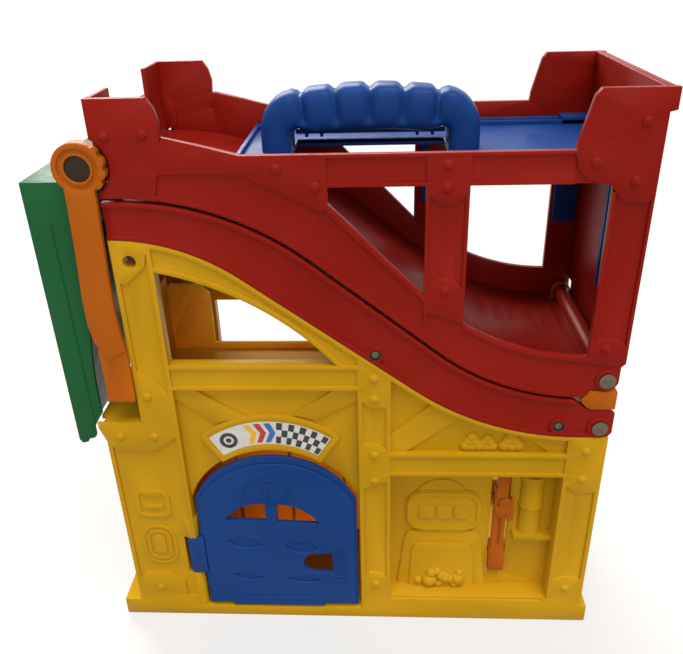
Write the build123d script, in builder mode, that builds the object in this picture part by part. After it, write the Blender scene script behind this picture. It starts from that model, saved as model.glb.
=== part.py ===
from build123d import *
import os
from math import asin, atan2, cos, degrees, hypot, radians, sin, sqrt

os.makedirs("parts", exist_ok=True)

# A folding toy garage, all sizes in millimetres.
# X runs along the front from left to right, Y from front to back, Z up.
# The origin is on the floor under the middle of the base.

# Overall sizes
base_width = 362
depth = 150
plinth_height = 20
plinth_step = 5
threshold_height = 9

# Moulded walls and relief
wall = 3
relief = 1.5
member_depth = 6
ridge = 3
rivet_radius = 3
rivet_tip = 1.6
rivet_height = 1.4
fit_gap = 0.3

# The fold: two parallel hinge pins along Y at the right end
hinge_inset = 12
hinge_low_z = 183
hinge_spacing = 37
hinge_pin_radius = 3
pin_head_radius = 5.3
pin_head_height = 1.5
pin_boss_radius = 8
pin_boss_depth = 8
cheek_end_radius = 14
cheek_end_reach = 9
running_gap = 0.08
foot_gap = 1

# The road in side view: a crest, a straight run and a valley, parted into two halves
crest_inset = 7
crest_drop = 57
valley_inset = 13
valley_lift = 24
straight_run = 102
crest_share = 0.55
parting_gap = 2.4
lip_height = 5.6
low_lip_height = 9.6
road_thickness = 2.5

# The base
left_foot_reach = 13
right_foot_reach = 5
step_width = 27
ledge_reach = 4
ledge_z = 186
rim_drop = 26
rim_crest_radius = 130
cheek_depth = 32
left_post_width = 25
centre_post_x = 8
post_width = 22
right_post_width = 26
sill_low_z = 212
sill_high_z = 231
beam_low_z = 141
beam_high_z = 160
screw_radius = 1.5
screw_head_radius = 3
screw_boss_radius = 4.5

# The door
door_bottom = 11
door_spring_z = 112
door_top_z = 156
door_thickness = 4
door_knuckle_radius = 5
door_knuckle_low = 45
door_knuckle_high = 80
door_pin_radius = 1.6
arch_margin = 4

# The pump bay
bay_depth = 17
bay_floor_z = 22
slot_inset = 45.5
slot_width = 14
slot_low_z = 32
lever_pivot_z = 51
lever_pin_radius = 1.5
lever_width = 9
drum_radius = 9

# The floors
floor_low_z = 4
floor_thickness = 3
upper_floor_z = 195
upper_floor_back = 17
back_panel_width = 35
back_panel_height = 55

# The upper road section
rail_drop = 33
rail_height = 19
frame_reach = 10
mid_post_x = 50
mid_post_width = 25
window_inset = 24
window_lift = 17
castle_band = 12
castle_flare = 3
corner_return = 37.5

# The exit chute and the latch arms share one shaft at the left end
hub_inset = 8.5
hub_drop = 38
hub_radius = 16.5
hub_clearance = 1.5
shaft_radius = 4
shaft_head_radius = 7.5
shaft_head_height = 2
arm_thickness = 3.5
arm_gap = 0.5
arm_foot_lift = 19.5
ear_radius = 7.5
ear_thickness = 5
ear_inset = 13
chute_inset = 5
chute_wall = 2.5
chute_reach = 40.5
chute_top_drop = 10
chute_tip_drop = 21

# The top plate and the handle
plate_drop = 47
plate_left = -68
plate_thickness = 3
grip_left = -54
grip_right = 88
grip_foot_width = 21
grip_drop = 5
grip_thickness = 26
grip_depth = 28
finger_reach = 23

# Places worked out from the sizes above
front = -depth / 2
back = depth / 2
web_face = front + relief
cheek_back = web_face + wall
bulkhead_face = front + member_depth
inside_face = bulkhead_face + wall
bay_face = front + bay_depth
shell_back = back - member_depth - wall
boss_face = front + pin_boss_depth
strip_left = -base_width / 2 + left_foot_reach
ledge_left = strip_left - ledge_reach
base_left = strip_left + step_width
base_right = base_width / 2 - right_foot_reach
left_bay_x = base_left + left_post_width
right_post_x = base_right - right_post_width
centre_post_right = centre_post_x + post_width
bay_middle = (left_bay_x + centre_post_x) / 2
hinge_x = base_width / 2 - hinge_inset
hinge_high_z = hinge_low_z + hinge_spacing
hinge_low = (hinge_x, hinge_low_z)
hinge_high = (hinge_x, hinge_high_z)
height = hinge_low_z + hinge_high_z - foot_gap
crest_x = base_left + crest_inset
crest_z = height - crest_drop
valley_x = hinge_x - valley_inset
valley_z = hinge_low_z + valley_lift
rim_crest_z = crest_z - rim_drop
cheek_bottom = valley_z - cheek_depth + fit_gap
rail_top_z = height - rail_drop
rail_low_z = rail_top_z - rail_height
frame_left = base_left
frame_right = hinge_x + frame_reach
corner_x = frame_left + 134
mid_post_right = mid_post_x + mid_post_width
window_right_x = frame_right - window_inset
window_low_z = hinge_high_z + window_lift
hub_x = base_left - hub_inset
hub_z = height - hub_drop
hub = (hub_x, hub_z)
slot_left = right_post_x - slot_inset
lever_x = slot_left + slot_width / 2
lever_y = bay_face + wall + 5
track_screws = [(centre_post_x + 12, sill_high_z + 8), (hinge_x - 27, hinge_low_z + 1)]
housing_screws = [(strip_left + 10, ledge_z - 16), (strip_left + 10, 16)]
housing_screws += [(base_right - 10, beam_high_z), (base_right - 10, 14)]


def at_depth(y):
    """A sketch plane across the object at y, seen from the front."""
    return Plane(origin=(0, y, 0), x_dir=(1, 0, 0), z_dir=(0, -1, 0))


def shifted(x0, z0, points):
    """Points given from a corner or post, moved to its place."""
    return [(x0 + x, z0 + z) for x, z in points]


def panel(x0, z0, x1, z1, mode=Mode.ADD):
    with Locations(((x0 + x1) / 2, (z0 + z1) / 2)):
        Rectangle(x1 - x0, z1 - z0, mode=mode)


def panel_cut(x0, z0, x1, z1):
    panel(x0, z0, x1, z1, mode=Mode.SUBTRACT)


def plate_of(points, mode=Mode.ADD):
    with BuildLine() as outline:
        Polyline(*points, close=True)
    make_face(outline.edges(), mode=mode)


def rounded_ring(x, z, width, tall, corner, rim):
    with Locations((x, z)):
        RectangleRounded(width, tall, corner)
        RectangleRounded(width - 2 * rim, tall - 2 * rim, corner - rim, mode=Mode.SUBTRACT)


# The side-view curve: radii that give the wanted straight run between crest and valley
road_run = valley_x - crest_x
road_slope = 2 * atan2(crest_z - valley_z, road_run + straight_run)
radii_together = (road_run - straight_run * cos(road_slope)) / sin(road_slope)
crest_radius = crest_share * radii_together
valley_radius = radii_together - crest_radius

# Curves as crest centre, crest radius, valley centre, valley radius
valley_centre = (valley_x, valley_z + valley_radius)
road_line = ((crest_x, crest_z - crest_radius), crest_radius, valley_centre, valley_radius)
rim_crest = (base_left, rim_crest_z - rim_crest_radius)
rim_line = (rim_crest, rim_crest_radius, valley_centre, valley_radius + cheek_depth)


def lifted(line, amount):
    """The same curve moved up along its normal."""
    crest, crest_r, valley, valley_r = line
    return crest, crest_r + amount, valley, valley_r - amount


def s_curve(line, left, right):
    """Draw a crest arc, a straight run and a valley arc from left to right."""
    (cx, cz), crest_r, (vx, vz), valley_r = line
    rise = atan2(vz - cz, vx - cx)
    slope = degrees(asin((crest_r + valley_r) / hypot(vx - cx, vz - cz)) - rise)
    crest = CenterArc((cx, cz), crest_r, 90, -slope)
    valley = CenterArc((vx, vz), valley_r, 270 - slope, slope)
    Line(crest @ 1, valley @ 0)
    if left < cx:
        Line((left, cz + crest_r), crest @ 0)
    Line(valley @ 1, (right, vz - valley_r))
    return (left, cz + crest_r), (right, vz - valley_r)


def band(upper, lower, left, right, mode=Mode.ADD):
    with BuildLine() as outline:
        a = s_curve(upper, left, right)
        b = s_curve(lower, left, right)
        Line(a[0], b[0])
        Line(a[1], b[1])
    make_face(outline.edges(), mode=mode)


def under(line, left, right, bottom, mode=Mode.ADD):
    with BuildLine() as outline:
        a, b = s_curve(line, left, right)
        Polyline(a, (left, bottom), (right, bottom), b)
    make_face(outline.edges(), mode=mode)


def over(line, left, right, top, mode=Mode.ADD):
    with BuildLine() as outline:
        a, b = s_curve(line, left, right)
        Polyline(a, (left, top), (right, top), b)
    make_face(outline.edges(), mode=mode)


def rivets(places, y):
    with Locations(*[Location((x, y - rivet_height / 2, z), (90, 0, 0)) for x, z in places]):
        Cone(rivet_radius, rivet_tip, rivet_height)


def along_y(radius, y0, y1, places, mode=Mode.ADD):
    with Locations(*[Location((x, (y0 + y1) / 2, z), (90, 0, 0)) for x, z in places]):
        Cylinder(radius, y1 - y0, mode=mode)


def block(x0, y0, z0, x1, y1, z1, mode=Mode.ADD):
    with Locations(((x0 + x1) / 2, (y0 + y1) / 2, (z0 + z1) / 2)):
        Box(x1 - x0, y1 - y0, z1 - z0, mode=mode)


def save(piece, name):
    piece.part.label = name
    export_step(piece.part, f"parts/{name}.step")


# Front facade: bulkhead, posts, beams, plinth, pump bay and the front halves of the side walls
window_left_top = (left_bay_x, rim_crest_z - 21)
window_middle = (bay_middle - 6, rim_crest_z - 42)
window_right = (centre_post_x - 13, sill_high_z)


def window_cut():
    """The left bay's upper window, under the curved beam."""
    with BuildLine() as outline:
        ThreePointArc(window_left_top, window_middle, window_right)
        Polyline(window_right, (left_bay_x, sill_high_z), window_left_top)
    make_face(outline.edges(), mode=Mode.SUBTRACT)


def window_edge():
    """The raised edge over that window."""
    left, middle, right = window_left_top, window_middle, window_right
    with BuildLine() as outline:
        ThreePointArc(left, middle, right)
        ThreePointArc((left[0], left[1] + ridge), (middle[0] + 1.5, middle[1] + ridge), (right[0] + 4, right[1]))
        Line(left, (left[0], left[1] + ridge))
        Line(right, (right[0] + 4, right[1]))
    make_face(outline.edges())


def facade_outline():
    under(rim_line, base_left, base_right, 0)
    panel(strip_left, 0, base_left, ledge_z)


def truss_panel(mode=Mode.SUBTRACT):
    """The sunk field over the right bay, up to the rim."""
    with BuildSketch(mode=Mode.PRIVATE) as field:
        under(lifted(rim_line, -ridge), base_left, base_right, beam_high_z)
        panel_cut(base_left, 0, centre_post_right, height)
        panel_cut(right_post_x, 0, base_right, height)
    add(field.sketch, mode=mode)


def members():
    """Posts and beams that stand proud of the bulkhead."""
    facade_outline()
    window_cut()
    panel_cut(left_bay_x, threshold_height, centre_post_x, sill_low_z)
    panel_cut(centre_post_right, bay_floor_z, right_post_x, beam_low_z)
    truss_panel()


def door_opening(mode):
    spring = door_spring_z + arch_margin
    with BuildLine() as outline:
        ThreePointArc((left_bay_x, spring), (bay_middle, door_top_z + arch_margin), (centre_post_x - 1, spring))
        Polyline((centre_post_x - 1, spring), (centre_post_x - 1, threshold_height),
                 (left_bay_x, threshold_height), (left_bay_x, spring))
    make_face(outline.edges(), mode=mode)


ledge_gusset = [(0, 36), (3, 41), (8, 38), (22, 23), (22, -12), (19, -15), (6, -24), (-21, -24), (-27, -16)]
ledge_gusset += [(-27 - ledge_reach, -5), (-27 - ledge_reach, 0), (0, 0)]
left_foot_gusset = [(0, 0), (0, 16), (8, 25), (28, 25), (38, 16), (38, 0)]
centre_beam_gusset = [(0, 9), (12, 9), (22, 2), (22, -25), (18, -25), (0, -32)]
centre_foot_gusset = [(0, 0), (0, 20), (6, 28), (18, 26), (22, 18), (22, 0)]
right_beam_gusset = [(-26, 34), (0, 34), (0, -9), (-4, -14), (-16, -14), (-24, -7), (-26, -1)]
right_foot_gusset = [(-29, 0), (-29, 10), (-24, 22), (-16, 26), (-5, 26), (0, 19), (0, 0)]
rim_gusset = [(0, -1), (0, -28), (7, -29), (20, -17), (23, -3.5)]
sill_gusset = [(0, 9), (22, 9), (22, -33), (8, -33), (0, -25)]


def gussets():
    """Raised corner plates where the beams meet the posts."""
    plate_of(shifted(base_left, ledge_z, ledge_gusset))
    plate_of(shifted(strip_left, plinth_height, left_foot_gusset))
    plate_of(shifted(centre_post_x, beam_high_z, centre_beam_gusset))
    plate_of(shifted(centre_post_x, plinth_height, centre_foot_gusset))
    plate_of(shifted(base_right, beam_low_z, right_beam_gusset))
    plate_of(shifted(base_right, plinth_height, right_foot_gusset))
    plate_of(shifted(base_left, rim_crest_z, rim_gusset))
    with BuildSketch(mode=Mode.PRIVATE) as under_rim:
        plate_of(shifted(centre_post_x, sill_high_z, sill_gusset))
        under(rim_line, base_left, base_right, 0, mode=Mode.INTERSECT)
    add(under_rim.sketch)


def ridges():
    """Raised edges of the posts and beams."""
    panel(strip_left, 0, strip_left + ridge, ledge_z)
    panel(left_bay_x - ridge, door_knuckle_high, left_bay_x, rim_crest_z - 3)
    panel(base_left, ledge_z + 36, base_left + ridge, rim_crest_z - 27)
    panel(left_bay_x, sill_high_z - ridge, centre_post_x, sill_high_z)
    panel(left_bay_x, sill_low_z, centre_post_x, sill_low_z + ridge)
    panel(centre_post_x, 0, centre_post_x + ridge, sill_low_z + ridge)
    panel(centre_post_right - ridge, 0, centre_post_right, sill_low_z + ridge)
    panel(right_post_x, 0, right_post_x + ridge, beam_high_z + 15)
    panel(base_right - ridge, 0, base_right, beam_high_z + 15)
    panel(centre_post_right, beam_high_z - ridge, right_post_x, beam_high_z)
    panel(centre_post_right, beam_low_z, right_post_x, beam_low_z + ridge)
    band(rim_line, lifted(rim_line, -ridge), base_left, base_right)


def plinth():
    panel(strip_left, 0, base_right, plinth_height)
    panel_cut(left_bay_x - ridge, threshold_height, centre_post_x, plinth_height)


def braces():
    """Diagonal braces in the sunk fields."""
    plate_of(shifted(left_bay_x, sill_low_z, [(0, -9), (25, -29), (46, -24), (11, 0), (0, 0)]))
    plate_of(shifted(centre_post_x, sill_low_z, [(0, -10), (-29, -26), (-44, -22), (-13, 0), (0, 0)]))
    with BuildSketch(mode=Mode.PRIVATE) as right_braces:
        plate_of(shifted(centre_post_right, beam_high_z, [(0, 14), (38, 48), (62, 40), (11, 0), (0, 0)]))
        plate_of(shifted(right_post_x, beam_high_z, [(-40, 22), (-22, 30), (0, 12), (0, 0), (-11, 0)]))
        truss_panel(mode=Mode.INTERSECT)
    add(right_braces.sketch)


def side_walls(y0, y1):
    """Half of the left wall, the ledge, the right wall and the plinth's wings."""
    block(strip_left, y0, 0, strip_left + wall, y1, ledge_z - wall)
    block(ledge_left, y0, ledge_z - wall, base_left + wall, y1, ledge_z)
    block(base_right - wall, y0, 0, base_right, y1, valley_z - cheek_depth - wall)
    block(-base_width / 2, y0, 0, strip_left, y1, plinth_height - plinth_step)
    block(base_right, y0, 0, base_width / 2, y1, plinth_height - plinth_step)


def floor_lip(y0, y1):
    block(strip_left + wall, y0, floor_low_z - wall, base_right - wall, y1, floor_low_z)


def sign_face(rise, low, half_top, half_low, mode):
    """A banner between two arcs over the door, from its rise and its two half widths."""
    top = door_top_z + 16
    with BuildLine() as outline:
        ThreePointArc((bay_middle - half_top, top), (bay_middle, top + rise), (bay_middle + half_top, top))
        Line((bay_middle + half_top, top), (bay_middle + half_low, low))
        ThreePointArc((bay_middle + half_low, low), (bay_middle, low + 11), (bay_middle - half_low, low))
        Line((bay_middle - half_low, low), (bay_middle - half_top, top))
    make_face(outline.edges(), mode=mode)


def crown():
    """The arched top of the oval plate in the pump bay."""
    with BuildLine() as outline:
        ThreePointArc((plate_x - 20, plate_z + 18), (plate_x - 2, plate_z + 29), (plate_x + 16, plate_z + 18))
        Line((plate_x + 16, plate_z + 18), (plate_x - 20, plate_z + 18))
    make_face(outline.edges())


def hatch(low_half, top_half, rise, corner):
    """A hatch with rounded top corners under that plate."""
    with BuildSketch(mode=Mode.PRIVATE) as cover:
        plate_of([(plate_x - low_half, bay_floor_z), (plate_x - top_half, bay_floor_z + rise),
                  (plate_x + top_half, bay_floor_z + rise), (plate_x + low_half, bay_floor_z)])
        fillet(cover.vertices().group_by(Axis.Y)[-1], corner)
    add(cover.sketch)


def bay_drum():
    """A banded drum on a shelf, half sunk in the bay's back wall."""
    x = right_post_x - 16
    y = bay_face + 2
    shelf_z = bay_floor_z + 52
    drum_top = beam_low_z - 15
    with Locations((x, y, (shelf_z + 4 + drum_top) / 2)):
        Cylinder(drum_radius, drum_top - shelf_z - 4)
    for z, tall in ((bay_floor_z + 81.5, 3), (drum_top + 2.5, 5)):
        with Locations((x, y, z)):
            Cylinder(drum_radius + 0.9, tall)
    block(x - 12, y, shelf_z, right_post_x, y + 2 * drum_radius, beam_low_z, mode=Mode.SUBTRACT)
    block(x - 12, bay_face, shelf_z, right_post_x, bay_face + wall, beam_low_z)
    block(x - 12, bay_face - 8, shelf_z, right_post_x, bay_face, shelf_z + 4)


def strip_relief():
    """A buckle and three nested ovals on the left strip."""
    x = strip_left + 23.5
    rounded_ring(x, plinth_height + 93, 26, 26, 7, 3.5)
    with Locations((x, plinth_height + 90)):
        SlotOverall(15, 4)
    with Locations((x, plinth_height + 102)):
        SlotOverall(13, 4.5)
    for width, tall in ((26, 38), (18, 29)):
        rounded_ring(x, plinth_height + 53, width, tall, width / 2 - 1, 2)
    with Locations((x, plinth_height + 53)):
        RectangleRounded(9, 19, 4)


plate_x = centre_post_right + 40
plate_z = bay_floor_z + 74.5
post_middle = centre_post_x + post_width / 2
facade_rivets = shifted(base_left, ledge_z, [(7, 21), (-17, -12), (7, -12)])
facade_rivets += [(strip_left + 18, plinth_height + 9), (post_middle, sill_high_z - 10)]
facade_rivets += [(post_middle, sill_low_z - 7), (post_middle, beam_high_z - 1), (post_middle, beam_low_z - 5)]
facade_rivets += [(post_middle, plinth_height + 16), (base_right - 13, beam_high_z + 3)]
facade_rivets += [(base_right - 13, beam_low_z - 2), (base_right - 13, plinth_height + 14)]
door_axis_x = left_bay_x - 3.5
door_axis_y = front + 5

with BuildPart() as front_facade:
    with BuildSketch(at_depth(inside_face)):
        facade_outline()
        window_cut()
        door_opening(Mode.SUBTRACT)
        panel_cut(centre_post_right, bay_floor_z, right_post_x, beam_low_z)
    extrude(amount=wall)
    with BuildSketch(at_depth(bulkhead_face)):
        members()
    extrude(amount=member_depth - relief)
    with BuildSketch(at_depth(web_face)):
        ridges()
        gussets()
        plinth()
        window_edge()
    extrude(amount=relief)
    with BuildSketch(at_depth(web_face)):
        strip_relief()
    extrude(amount=relief - 0.5)
    with BuildSketch(at_depth(bulkhead_face)):
        braces()
    extrude(amount=relief + 0.5)
    with BuildSketch(at_depth(bulkhead_face)):
        sign_face(18, door_top_z - 6, 49, 35, Mode.ADD)
    extrude(amount=member_depth - 2 * relief)
    with BuildSketch(at_depth(front + relief + 2)):
        sign_face(14, door_top_z - 1.5, 44, 33.5, Mode.ADD)
    extrude(amount=4, mode=Mode.SUBTRACT)
    side_walls(inside_face, 0)
    floor_lip(inside_face, inside_face + 8)
    # Pump bay box, with the slot and the lugs that hold the lever's axle behind it
    with BuildSketch(at_depth(bay_face + wall)):
        panel(centre_post_right - wall, bay_floor_z - wall, right_post_x + wall, beam_low_z + wall)
    extrude(amount=bay_depth - member_depth)
    with BuildSketch(at_depth(bay_face)):
        panel(centre_post_right, bay_floor_z, right_post_x, beam_low_z)
    extrude(amount=bay_depth, mode=Mode.SUBTRACT)
    # An oval framed plate with an arched top over a framed hatch, on the bay's back wall
    with BuildSketch(at_depth(bay_face)):
        crown()
    extrude(amount=1.2)
    with BuildSketch(at_depth(bay_face)):
        with Locations((plate_x, plate_z)):
            RectangleRounded(56, 38, 14)
    extrude(amount=2.4)
    with BuildSketch(at_depth(bay_face - 2.4)):
        rounded_ring(plate_x, plate_z, 54, 36, 13, 2.5)
        with Locations(*[(plate_x + step, plate_z) for step in (-13, 0, 13)]):
            RectangleRounded(10.5, 12, 1)
    extrude(amount=1.3)
    with BuildSketch(at_depth(bay_face)):
        hatch(34, 28, 55, 9)
    extrude(amount=2.2)
    with BuildSketch(at_depth(bay_face - 2.2)):
        hatch(25, 23, 43, 7)
    extrude(amount=1.8)
    bay_drum()
    block(slot_left, bay_face - 9, slot_low_z, slot_left + slot_width, bay_face + wall + 1, beam_low_z,
          mode=Mode.SUBTRACT)
    for x in (slot_left - wall, slot_left + slot_width):
        block(x, bay_face + wall, lever_pivot_z - 6, x + wall, lever_y + 4, lever_pivot_z + 6)
    with Locations(Location((lever_x, lever_y, lever_pivot_z), (0, 90, 0))):
        Cylinder(lever_pin_radius, slot_width + 8, mode=Mode.SUBTRACT)
    # Front plinth wings
    block(-base_width / 2, front, 0, strip_left, inside_face, plinth_height - plinth_step)
    block(base_right, front, 0, base_width / 2, inside_face, plinth_height - plinth_step)
    # Screw lugs behind the road's cheek, and long screw bosses inside
    along_y(screw_boss_radius + 1.5, cheek_back + fit_gap, inside_face, track_screws)
    for x, z in track_screws:
        block(x - 6, cheek_back + fit_gap, z - 16, x + 6, inside_face, z)
    along_y(screw_radius, front, inside_face + 1, track_screws, mode=Mode.SUBTRACT)
    along_y(screw_boss_radius, inside_face, 0, housing_screws)
    along_y(screw_radius, -14, 0, housing_screws, mode=Mode.SUBTRACT)
    # Door knuckles on the left post and the hole in the top corner
    block(door_axis_x - 6, front - 1, door_knuckle_low - 0.5, left_bay_x + 1, inside_face + 1,
          door_knuckle_high + 0.5, mode=Mode.SUBTRACT)
    for low, high in ((door_knuckle_high + fit_gap, 98), (threshold_height, door_knuckle_low - fit_gap)):
        with Locations((door_axis_x, door_axis_y, (low + high) / 2)):
            Cylinder(door_knuckle_radius, high - low)
    with Locations((door_axis_x, door_axis_y, (12 + 95) / 2)):
        Cylinder(door_pin_radius + running_gap, 95 - 12, mode=Mode.SUBTRACT)
    along_y(4.2, front - 1, inside_face + 1, shifted(base_left, rim_crest_z, [(11, -14)]), mode=Mode.SUBTRACT)
    rivets(facade_rivets, front)
save(front_facade, "front_facade")


# Back facade: the same frame with open bays
with BuildPart() as back_facade:
    with BuildSketch(at_depth(back - member_depth)):
        facade_outline()
        window_cut()
        panel_cut(left_bay_x, threshold_height, centre_post_x, sill_low_z)
        panel_cut(centre_post_right, bay_floor_z, right_post_x, beam_low_z)
    extrude(amount=wall)
    with BuildSketch(at_depth(back - relief)):
        members()
    extrude(amount=member_depth - relief)
    with BuildSketch(at_depth(back)):
        ridges()
        plinth()
    extrude(amount=relief)
    side_walls(0, shell_back)
    floor_lip(shell_back - 8, shell_back)
    block(-base_width / 2, shell_back, 0, strip_left, back, plinth_height - plinth_step)
    block(base_right, shell_back, 0, base_width / 2, back, plinth_height - plinth_step)
    along_y(screw_boss_radius + 1.5, shell_back, -cheek_back, track_screws)
    for x, z in track_screws:
        block(x - 6, shell_back, z - 16, x + 6, -cheek_back, z)
    along_y(screw_radius, shell_back - 1, back, track_screws, mode=Mode.SUBTRACT)
    along_y(screw_boss_radius, 0, shell_back, housing_screws)
    along_y(screw_head_radius + fit_gap, 6, back + 1, housing_screws, mode=Mode.SUBTRACT)
    along_y(screw_radius + running_gap, -1, 7, housing_screws, mode=Mode.SUBTRACT)
save(back_facade, "back_facade")


# Floors
floor_top = floor_low_z + floor_thickness
upper_floor_right = centre_post_right - 4
panel_right = base_left + back_panel_width
panel_top_z = upper_floor_z + back_panel_height
spanner = [(5, 15), (11, 11), (25, 31), (31, 33), (31, 41), (23, 43), (17, 36)]
arrow = [(5, 33), (13, 41), (10, 44), (18, 49), (19, 40), (16, 43), (8, 31)]

with BuildPart() as garage_floor:
    block(strip_left + wall, inside_face + fit_gap, floor_low_z, base_right - wall, shell_back - fit_gap, floor_top)
    block(left_bay_x + 6, inside_face + 2, floor_low_z, centre_post_x - 6, inside_face + 4, floor_top + 1.5)
    for x in (-110, 0, 110):
        block(x - 2, inside_face + 10, 0, x + 2, shell_back - 10, floor_low_z)
save(garage_floor, "garage_floor")

with BuildPart() as upper_floor:
    block(base_left, inside_face, upper_floor_z - floor_thickness, upper_floor_right, upper_floor_back,
          upper_floor_z)
    block(base_left, inside_face, ledge_z, base_left + wall, upper_floor_back, upper_floor_z)
    block(panel_right, upper_floor_back - wall, upper_floor_z, upper_floor_right, upper_floor_back,
          upper_floor_z + 5)
    with BuildSketch(at_depth(upper_floor_back)):
        plate_of([(base_left, upper_floor_z), (panel_right, upper_floor_z), (panel_right, panel_top_z - 8),
                  (panel_right - 8, panel_top_z), (base_left + 6, panel_top_z), (base_left, panel_top_z - 6)])
    extrude(amount=wall)
    # A slanted spanner and an arrow stand out from the panel
    with BuildSketch(at_depth(upper_floor_back - wall)):
        plate_of(shifted(base_left, upper_floor_z, spanner))
        plate_of(shifted(base_left, upper_floor_z, arrow))
    extrude(amount=relief)
save(upper_floor, "upper_floor")

with BuildPart() as inner_wall:
    inner_wall_face = upper_floor_back - wall
    inner_wall_top = upper_floor_z - floor_thickness
    block(base_left + wall + fit_gap, inner_wall_face, floor_top, upper_floor_right, upper_floor_back, inner_wall_top)
    for x in (bay_middle - 46, bay_middle, bay_middle + 46):
        block(x - 1, inner_wall_face - 4, floor_top, x + 1, inner_wall_face, inner_wall_top)
save(inner_wall, "inner_wall")


# Lower road half: two curved cheeks with a running surface between them
lip_low = lifted(road_line, 0.2 - parting_gap)
deck_low = lifted(road_line, 0.2 - parting_gap - low_lip_height)
cheek_top = lifted(rim_line, fit_gap)
low_notch = [(-23, 24), (-17, 20), (-11, 15), (-8, cheek_end_radius), (0, cheek_end_radius), (0, 24)]


def low_end():
    """The cheek's round end about the lower pin."""
    side_x = hinge_x + cheek_end_reach
    side_z = hinge_low_z + sqrt(cheek_end_radius ** 2 - cheek_end_reach ** 2)
    half_turn = radians(90 + degrees(atan2(side_z - hinge_low_z, cheek_end_reach))) / 2
    middle = (hinge_x + cheek_end_radius * cos(half_turn), hinge_low_z + cheek_end_radius * sin(half_turn))
    with BuildLine() as outline:
        ThreePointArc((hinge_x, hinge_low_z + cheek_end_radius), middle, (side_x, side_z))
        Polyline((side_x, side_z), (side_x, cheek_bottom + 3), (side_x - 2, cheek_bottom), (hinge_x, cheek_bottom),
                 (hinge_x, hinge_low_z + cheek_end_radius))
    make_face(outline.edges())


with BuildPart() as lower_track:
    with BuildSketch(at_depth(cheek_back)):
        band(lip_low, cheek_top, base_left, hinge_x)
        plate_of(shifted(hinge_x, hinge_low_z, low_notch), mode=Mode.SUBTRACT)
        low_end()
    extrude(amount=wall)
    with BuildSketch(at_depth(web_face)):
        band(lip_low, lifted(lip_low, -ridge), base_left, hinge_x)
        plate_of(shifted(hinge_x, hinge_low_z, low_notch), mode=Mode.SUBTRACT)
        band(lifted(cheek_top, ridge), cheek_top, base_left, hinge_x)
        with Locations(hinge_low):
            Circle(pin_boss_radius)
        with Locations(*track_screws):
            Circle(5.8)
    extrude(amount=relief)
    with BuildSketch(at_depth(0)):
        band(deck_low, lifted(deck_low, -road_thickness), base_left, hinge_x)
    extrude(amount=-cheek_back)
    along_y(pin_boss_radius, cheek_back, boss_face, [hinge_low])
    block(hinge_x - 15, cheek_back, hinge_low_z + 8.5, base_right + 20, 1, valley_z, mode=Mode.SUBTRACT)
    along_y(hinge_pin_radius + 0.03, front - 1, boss_face + 1, [hinge_low], mode=Mode.SUBTRACT)
    along_y(screw_radius + running_gap, front - 1, cheek_back + 1, track_screws, mode=Mode.SUBTRACT)
    along_y(screw_head_radius + 0.7, front - 1, front + 2.5, track_screws, mode=Mode.SUBTRACT)
    mirror(about=Plane.XZ)
save(lower_track, "lower_track")


# Upper road half: the two framed sides
lip_high = lifted(road_line, 0.2)
deck_high = lifted(road_line, 0.2 + lip_height)
castle_right = [(castle_flare + 1, 0), (castle_flare + 1, -castle_band), (0, -castle_band - 1), (0, -60), (-5, -64)]
castle_right += [(-15, -63), (-20, -60), (-25, -53), (-38, -50), (-45, -43), (-47, -35), (-46, -27), (-40, -4)]
castle_right += [(-37, 0)]
castle_left = [(0, 0), (35, 0), (39, -6), (41, -14), (40, -29), (33, -56), (0, -56)]
shoulder = [(35, -43), (83, -43), (85, -rail_drop), (62, -27), (42, -22), (38, -29)]
rail_gusset = [(83, -43), (85, -rail_drop), (134, -rail_drop), (134, -62), (130, -67)]
mid_post_top = [(0, 19), (25, 19), (25, -4), (17, -11), (8, -11), (0, -4)]
mid_post_low = [(0, 43), (1.5, 49), (8, 56), (17, 56), (23.5, 49), (23.5, 25), (0, 33)]
right_post_low = [(-24, 13), (-24, 27), (-20, 31), (-7, 31), (-1, 25), (-1, 14), (-5, 11)]
high_notch = [(-13.8, -15), (-13.8, -12.6), (-9, -pin_boss_radius), (0, -pin_boss_radius), (0, -15)]
frame_rivets = shifted(frame_left, height, [(9, -21), (31, -20), (105, -41), (127, -52)])
frame_rivets += shifted(mid_post_x, height, [(12, -40), (12, -53)])
frame_rivets += shifted(mid_post_x, window_low_z, [(13, 47)])
frame_rivets += shifted(frame_right, height, [(-11, -18), (-35, -40), (-12, -51)])
frame_rivets += shifted(frame_right, hinge_high_z, [(-14, 23)])
window_sill = [(mid_post_right, window_low_z + 23.8), (mid_post_right + 38, window_low_z + 6.3)]
window_sill += [(window_right_x, window_low_z)]
sill_underside = [(mid_post_right, window_low_z + 20.5), (mid_post_right + 38, window_low_z + 3.3)]
sill_underside += [(window_right_x, window_low_z - ridge)]
corner_low = (corner_x, height - 62)
corner_right = (mid_post_x, window_low_z + 44)


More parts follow.
